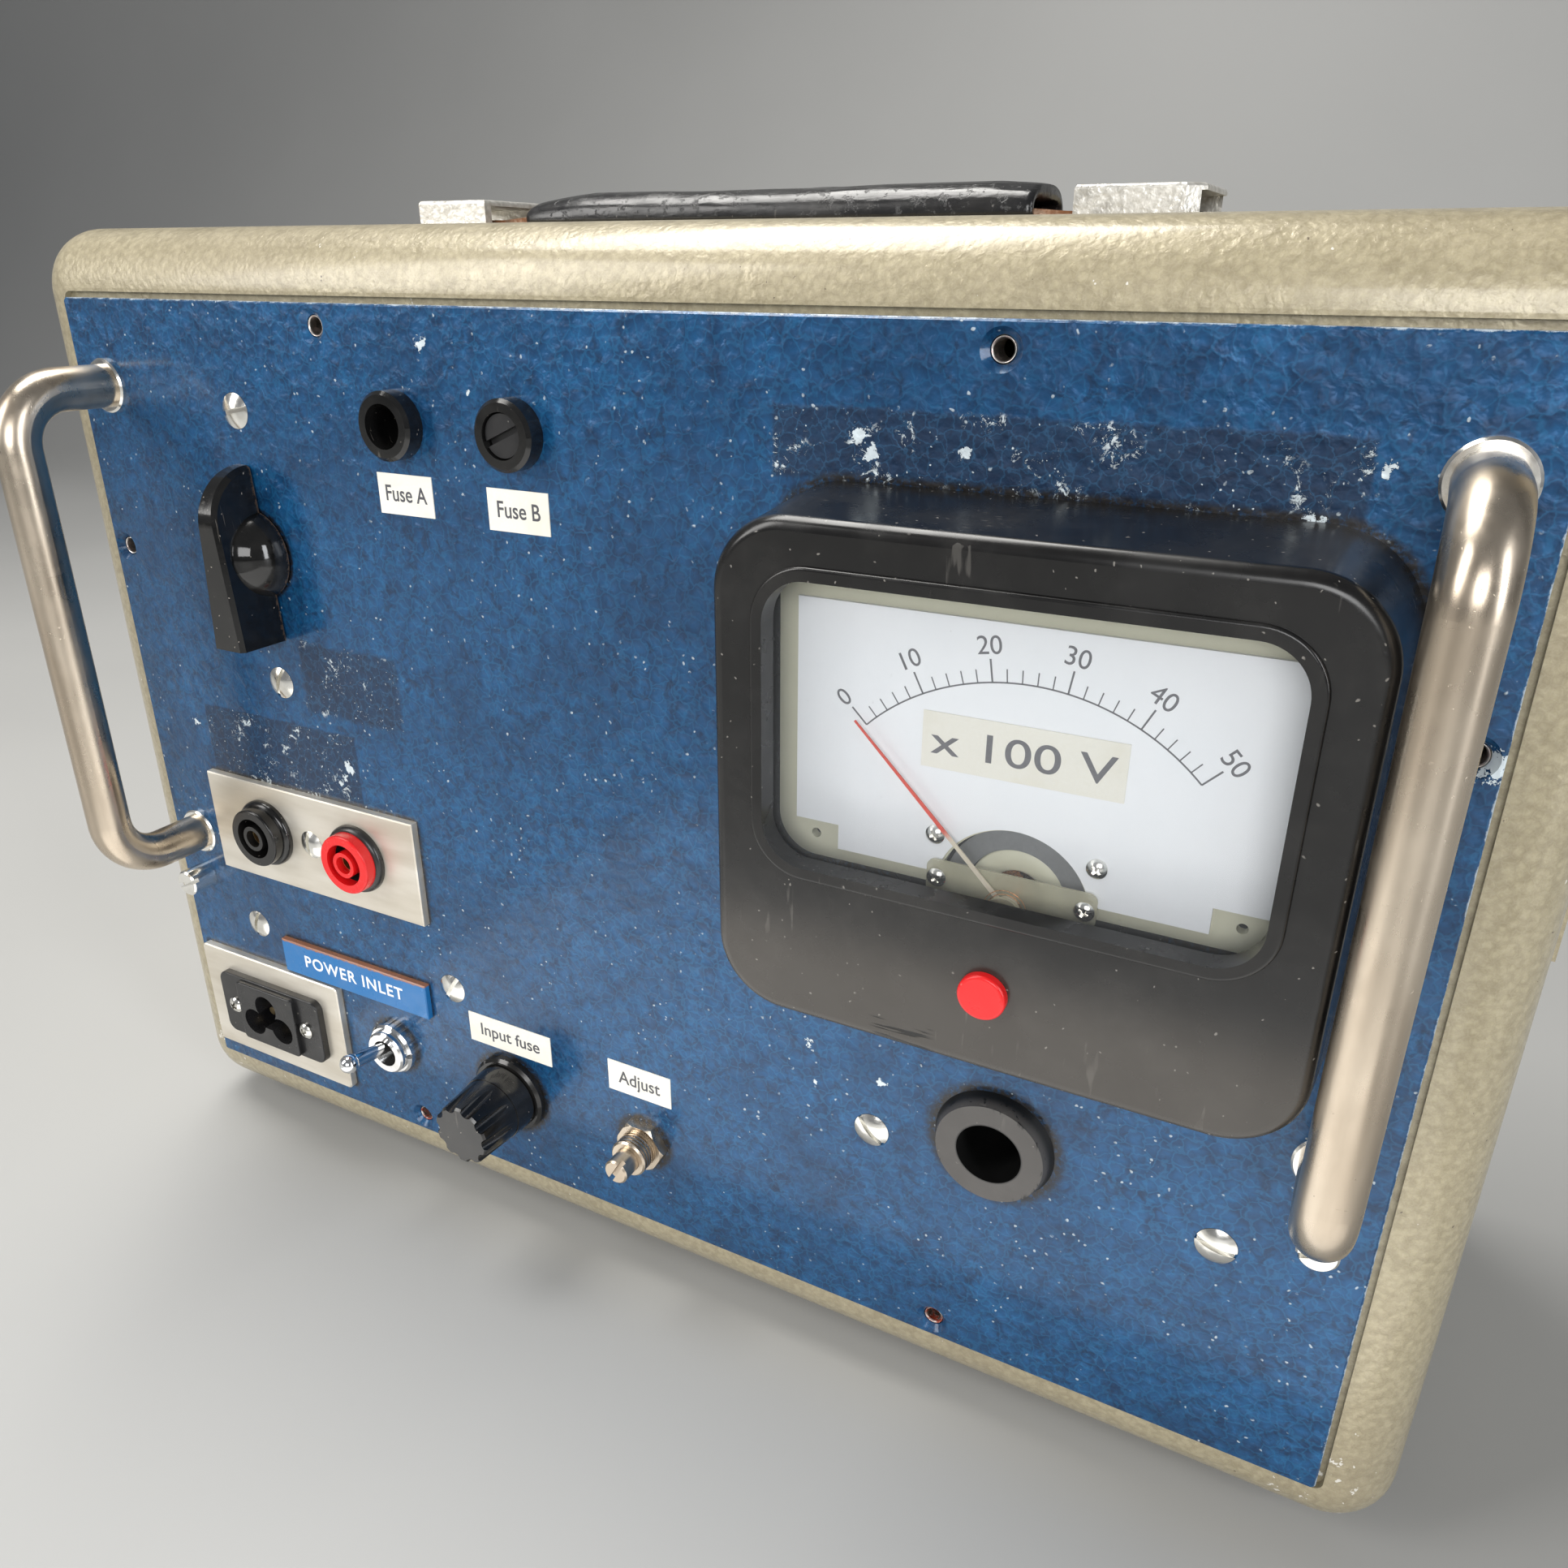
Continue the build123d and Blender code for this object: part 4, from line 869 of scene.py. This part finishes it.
def bar(verts, faces, corners, low, high):
    """Adds a thin prism over the four corners (x, y), from z low to z high."""
    start = len(verts)
    verts += [at(x, y, z) for z in (low, high) for x, y in corners]
    faces += [[start + i for i in side] for side in (
        (3, 2, 1, 0), (4, 5, 6, 7), (0, 1, 5, 4), (1, 2, 6, 5), (2, 3, 7, 6), (3, 0, 4, 7))]


def polar(r, degrees):
    """A place (x, y) round the pointer's pivot."""
    angle = math.radians(degrees)
    return PIVOT[0] + r * math.cos(angle), PIVOT[1] + r * math.sin(angle)


def scale_marks(material):
    """The dial's arc with its long and short ticks."""
    verts, faces = [], []
    low, high = CARD_Z, CARD_Z + INK_T
    inner, outer = SCALE_R - ARC_T / 2, SCALE_R + ARC_T / 2
    for i in range(ARC_STEPS):
        a = SCALE_START - SCALE_SWEEP * i / ARC_STEPS
        b = SCALE_START - SCALE_SWEEP * (i + 1) / ARC_STEPS
        bar(verts, faces, [polar(inner, a), polar(outer, a), polar(outer, b), polar(inner, b)], low, high)
    ticks = (MAJOR_TICKS - 1) * MINOR_PER_MAJOR
    for i in range(ticks + 1):
        a = SCALE_START - SCALE_SWEEP * i / ticks
        major = i % MINOR_PER_MAJOR == 0
        length = MAJOR_L if major else MINOR_L
        half = math.degrees((MAJOR_T if major else MINOR_T) / 2 / SCALE_R)
        corners = [polar(SCALE_R, a + half), polar(SCALE_R + length, a + half),
                   polar(SCALE_R + length, a - half), polar(SCALE_R, a - half)]
        bar(verts, faces, corners, low, high)
    name = "dial_scale_marks"
    piece(name, skin(name, verts, faces, False), material, "root")


def scale_numerals(material):
    for i in range(MAJOR_TICKS):
        angle = SCALE_START - SCALE_SWEEP * i / (MAJOR_TICKS - 1)
        spot = (*polar(NUMERAL_R, angle), CARD_Z + INK_T / 2)
        words = str(10 * i)
        lettering(f"dial_numeral_{words}", words, spot, NUMERAL_SIZE, material, spin=angle - 90)


# Generic words on the paper labels: name, words, (x, y), size and stretch.
LABEL_WORDS = [
    ("label_fuse_a", "Fuse A", (-51.7, 66.7), 4.6, 0.88),
    ("label_fuse_b", "Fuse B", (-22.7, 65.9), 4.6, 0.88),
    ("label_input_fuse", "Input fuse", (-39.0, -62.7), 4.8, 0.96),
    ("label_adjust", "Adjust", (-1.3, -62.6), 4.8, 0.90),
]
DIAL_WORDS = ("label_dial", "x 100 V", (84.2, 39.2), 6.9, 1.38)


def label_words(dark, grey):
    z = LABEL_T + INK_T / 2
    for name, words, (x, y), size, stretch in LABEL_WORDS:
        lettering(name, words, (x, y, z), size, dark, stretch=stretch, bold=0.05)
    name, words, (x, y), size, stretch = DIAL_WORDS
    lettering(name, words, (x, y, CARD_Z + z), size, grey, stretch=stretch, bold=0.02)


def plate_words(material):
    spot = (*middle("name_plate"), front("name_plate") + INK_T / 2)
    lettering("name_plate_words", "POWER INLET", spot, 4.9, material, bold=0.08, gap=1.14)


def hair_spring_coil(material):
    """The flat spiral spring round the pointer's staff."""
    x, y = PIVOT
    z = front("hair_spring") - SPRING_SUNK
    per_turn = 24
    points = []
    for i in range(SPRING_TURNS * per_turn + 1):
        angle = 2 * math.pi * i / per_turn
        r = SPRING_INNER_R + SPRING_PITCH * i / per_turn
        points.append(at(x + r * math.cos(angle), y + r * math.sin(angle), z))
    coil = wire("hair_spring_coil", points, SPRING_WIRE_R, 2)
    spring = piece("hair_spring_coil", coil, material, "pointer")
    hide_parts("hair_spring")


def ribbed_tube(name, rings, material, body):
    """Joins closed rings of points into one skin; the last ring joins the first."""
    verts = [point for ring in rings for point in ring]
    around = len(rings[0])
    faces = []
    for i in range(len(rings)):
        here, there = i * around, (i + 1) % len(rings) * around
        for j in range(around):
            k = (j + 1) % around
            faces.append((here + j, here + k, there + k, there + j))
    return piece(name, skin(name, verts, faces, True), material, body)


def grip_section(x, half_w, height, low, inner):
    """One ring of the strap's grip at x: crowned outside, or the flat channel inside."""
    ring = []
    for step in range(GRIP_POINTS):
        angle = 2 * math.pi * step / GRIP_POINTS
        c, s = math.cos(angle), math.sin(angle)
        across = half_w * math.copysign(abs(c) ** (0.35 if inner else 0.75), c)
        if s >= 0:
            up = height * s ** (0.45 if inner else 0.9)
        else:
            up = -low * (-s) ** 0.4
        ring.append((x, across, up))
    return ring


def strap_sleeve(material):
    """The strap's worn grip: pinched on the left, its mouth crushed open on the right."""
    low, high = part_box("strap_grip")
    mid = (low + high) / 2
    half_l = (high.x - low.x) / 2 / MM
    half_w = (high.y - low.y) / 2 / MM
    full = (high.z - low.z) / MM
    base = low.z + GRIP_FLOOR * MM
    rings = []
    for inner in (False, True):
        for i in range(GRIP_STATIONS + 1):
            t = 1 - i / GRIP_STATIONS if inner else i / GRIP_STATIONS
            x = half_l * (2 * t - 1)
            left = min(1.0, (half_l + x) / PINCH_L) ** 0.6
            right = min(1.0, (half_l - x) / MOUTH_L) ** 0.6
            if inner:
                ring = grip_section(x, half_w - GRIP_WALL, 2.0 + 0.6 * (1 - right), 0.15, True)
            else:
                height = (full - GRIP_FLOOR + GRIP_PROUD) * (0.60 + 0.40 * left) * (0.88 + 0.12 * right)
                ring = grip_section(x, half_w * (0.90 + 0.10 * left) - 0.4, height, GRIP_FLOOR - 0.1, False)
            rings.append([grip_point(point, mid, base, inner) for point in ring])
    sleeve = ribbed_tube("strap_sleeve", rings, material, "strap")
    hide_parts("strap_grip")


def grip_point(point, mid, base, inner):
    """Places a grip point in the frame, with the long creases of old vinyl outside."""
    x, across, up = point
    place = Vector((mid.x + x * MM, mid.y + across * MM, base + up * MM))
    if inner or up < 0.3:
        return place
    crease = noise.noise(Vector((x * 0.035, across * 0.22, 4.0))) * 0.55
    crease += noise.noise(Vector((x * 0.12, across * 0.5, 9.0))) * 0.22
    dent = -0.5 * math.exp(-((x + 8.0) / 26.0) ** 2) * math.exp(-((across + 3.0) / 4.0) ** 2)
    return place + Vector((0, 0, (min(0.0, crease) + dent) * MM))


def frayed_end(material):
    """Dark threads of the strap's lining that stick out past the right-hand clamp."""
    low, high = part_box("strap_strip")
    case_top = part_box("case_shell")[1].z
    for i in range(FRAY_THREADS):
        spread = (i + 0.5) / FRAY_THREADS - 0.5
        reach = 7.0 + 3.5 * math.sin(2.3 * i)
        lift = 1.6 + 1.3 * math.sin(1.7 * i + 1)
        points = []
        for step in range(FRAY_STEPS + 1):
            t = step / FRAY_STEPS
            x = high.x + (reach * t - 2.0) * MM
            y = (low.y + high.y) / 2 + spread * (FRAY_SPREAD + 3 * t * math.sin(3.1 * i)) * MM
            z = case_top + (1.2 + lift * math.sin(2.4 * t)) * MM
            points.append((x, y, z))
        name = f"strap_fray_{i + 1}"
        piece(name, wire(name, points, FRAY_T / 2, 1), material, "root")


def threaded_holes(material):
    """The tapped inserts seen inside the panel's empty edge holes."""
    profile = []
    for step in range(2 * THREAD_TURNS + 1):
        profile.append((CREST_R if step % 2 else ROOT_R, INSERT_TOP - step * THREAD_PITCH / 2))
    profile += [(INSERT_R, INSERT_TOP - THREAD_TURNS * THREAD_PITCH), (INSERT_R, INSERT_TOP)]
    around = 28
    turn = [2 * math.pi * j / around for j in range(around)]
    for i, (x, y) in enumerate(EDGE_HOLES):
        rings = []
        for r, z in profile:
            rings.append([at(x + r * math.cos(a), y + r * math.sin(a), z) for a in turn])
        ribbed_tube(f"edge_insert_{i + 1}", rings, material, "root")


def movement_carrier(material):
    """The khaki moulding inside the magnet's ring, round the moving coil."""
    shoulder = CARRIER_HIGH - CARRIER_CHAMFER
    corners = [
        (CARRIER_OUTER_R, CARRIER_LOW), (CARRIER_OUTER_R, shoulder),
        (CARRIER_OUTER_R - CARRIER_CHAMFER, CARRIER_HIGH), (CARRIER_INNER_R + CARRIER_CHAMFER, CARRIER_HIGH),
        (CARRIER_INNER_R, shoulder), (CARRIER_INNER_R, CARRIER_LOW),
    ]
    around = 48
    rings = []
    for r, z in corners:
        rings.append([at(*polar(r, 360 * j / around), z) for j in range(around)])
    ribbed_tube("movement_carrier", rings, material, "root")


# ---- floor, light, camera ----------------------------------------------------
def studio():
    """A plain pale floor that bends up into a wall."""
    look = Look("floor_grey")
    mottle = look.noise(400, 3.0)
    look.finish(look.mix(mottle, (0.40, 0.40, 0.39), (0.46, 0.46, 0.45)), mottle, 0.45, 0.55)
    reach, back, bend, steps = 3.0, 1.4, 0.7, 12
    profile = [(-reach, 0.0), (back - bend, 0.0)]
    for i in range(1, steps + 1):
        angle = math.pi / 2 * i / steps
        profile.append((back - bend + bend * math.sin(angle), bend - bend * math.cos(angle)))
    profile.append((back, reach))
    verts = [(side * reach, y, z) for y, z in profile for side in (-1, 1)]
    faces = [(2 * i, 2 * i + 1, 2 * i + 3, 2 * i + 2) for i in range(len(profile) - 1)]
    mesh = skin("floor", verts, faces, True)
    mesh.materials.append(look.material)
    floor = bpy.data.objects.new("floor", mesh)
    bpy.context.scene.collection.objects.link(floor)


def softbox(name, where, aim, width, height, power, tint):
    """One rectangular lamp, in metres and watts, turned to face aim."""
    lamp = bpy.data.lights.new(name, "AREA")
    lamp.shape = "RECTANGLE"
    lamp.size = width
    lamp.size_y = height
    lamp.energy = power
    lamp.color = tint
    obj = bpy.data.objects.new(name, lamp)
    bpy.context.scene.collection.objects.link(obj)
    obj.location = where
    obj.rotation_euler = (Vector(aim) - Vector(where)).to_track_quat("-Z", "Y").to_euler()
    return obj


def lights():
    """Four soft lamps round the case, and the light that the floor throws back at the panel."""
    warm, cool, white = (1.0, 0.98, 0.95), (0.95, 0.97, 1.0), (1, 1, 1)
    aim = at(0, 0)
    softbox("overhead", (-0.45, 0.10, 1.25), aim, 0.9, 0.5, 16, (1.0, 0.98, 0.94))
    softbox("key", (-1.0, -1.0, 0.85), aim, 0.5, 1.0, 12, warm)
    softbox("front", (0.35, -1.3, 0.55), aim, 0.7, 0.5, 8, white)
    softbox("fill", (1.3, -0.5, 0.5), aim, 0.25, 0.9, 8, cool)
    bounce = softbox("bounce", (0.05, -0.192, 0.003), (0.05, -0.192, 1.0), 0.40, 0.21, 0.27, warm)
    bounce.visible_camera = False
    world = bpy.data.worlds.new("studio")
    world.use_nodes = True
    world.node_tree.nodes["Background"].inputs["Color"].default_value = (0.80, 0.82, 0.85, 1)
    world.node_tree.nodes["Background"].inputs["Strength"].default_value = 0.26
    bpy.context.scene.world = world
    bpy.context.scene.view_settings.view_transform = "Standard"


def camera():
    lens = bpy.data.cameras.new("camera")
    lens.lens = CAMERA_LENS
    lens.sensor_width = 36.0
    lens.clip_start = 0.01
    obj = bpy.data.objects.new("camera", lens)
    bpy.context.scene.collection.objects.link(obj)
    look = (CAMERA_AIM - CAMERA_AT).normalized()
    right = look.cross(Vector((0, 0, 1))).normalized()
    up = right.cross(look)
    turn = Matrix((right, up, -look)).transposed().to_4x4() @ Matrix.Rotation(CAMERA_ROLL, 4, "Z")
    obj.matrix_world = Matrix.Translation(CAMERA_AT) @ turn
    bpy.context.scene.camera = obj


# ---- the scene ---------------------------------------------------------------
looks = dress_cad_nodes()
dark_ink = ink("dark_ink", (0.055, 0.055, 0.065))
grey_ink = ink("grey_ink", (0.10, 0.10, 0.11))
white_ink = ink("white_ink", (0.72, 0.74, 0.74))
scale_marks(grey_ink)
scale_numerals(grey_ink)
label_words(dark_ink, grey_ink)
plate_words(white_ink)
hair_spring_coil(looks["coil_copper"])
strap_sleeve(looks["black_vinyl"])
frayed_end(looks["black_vinyl"])
threaded_holes(rusty_insert())
movement_carrier(looks["cream_plastic"])
studio()
lights()
camera()
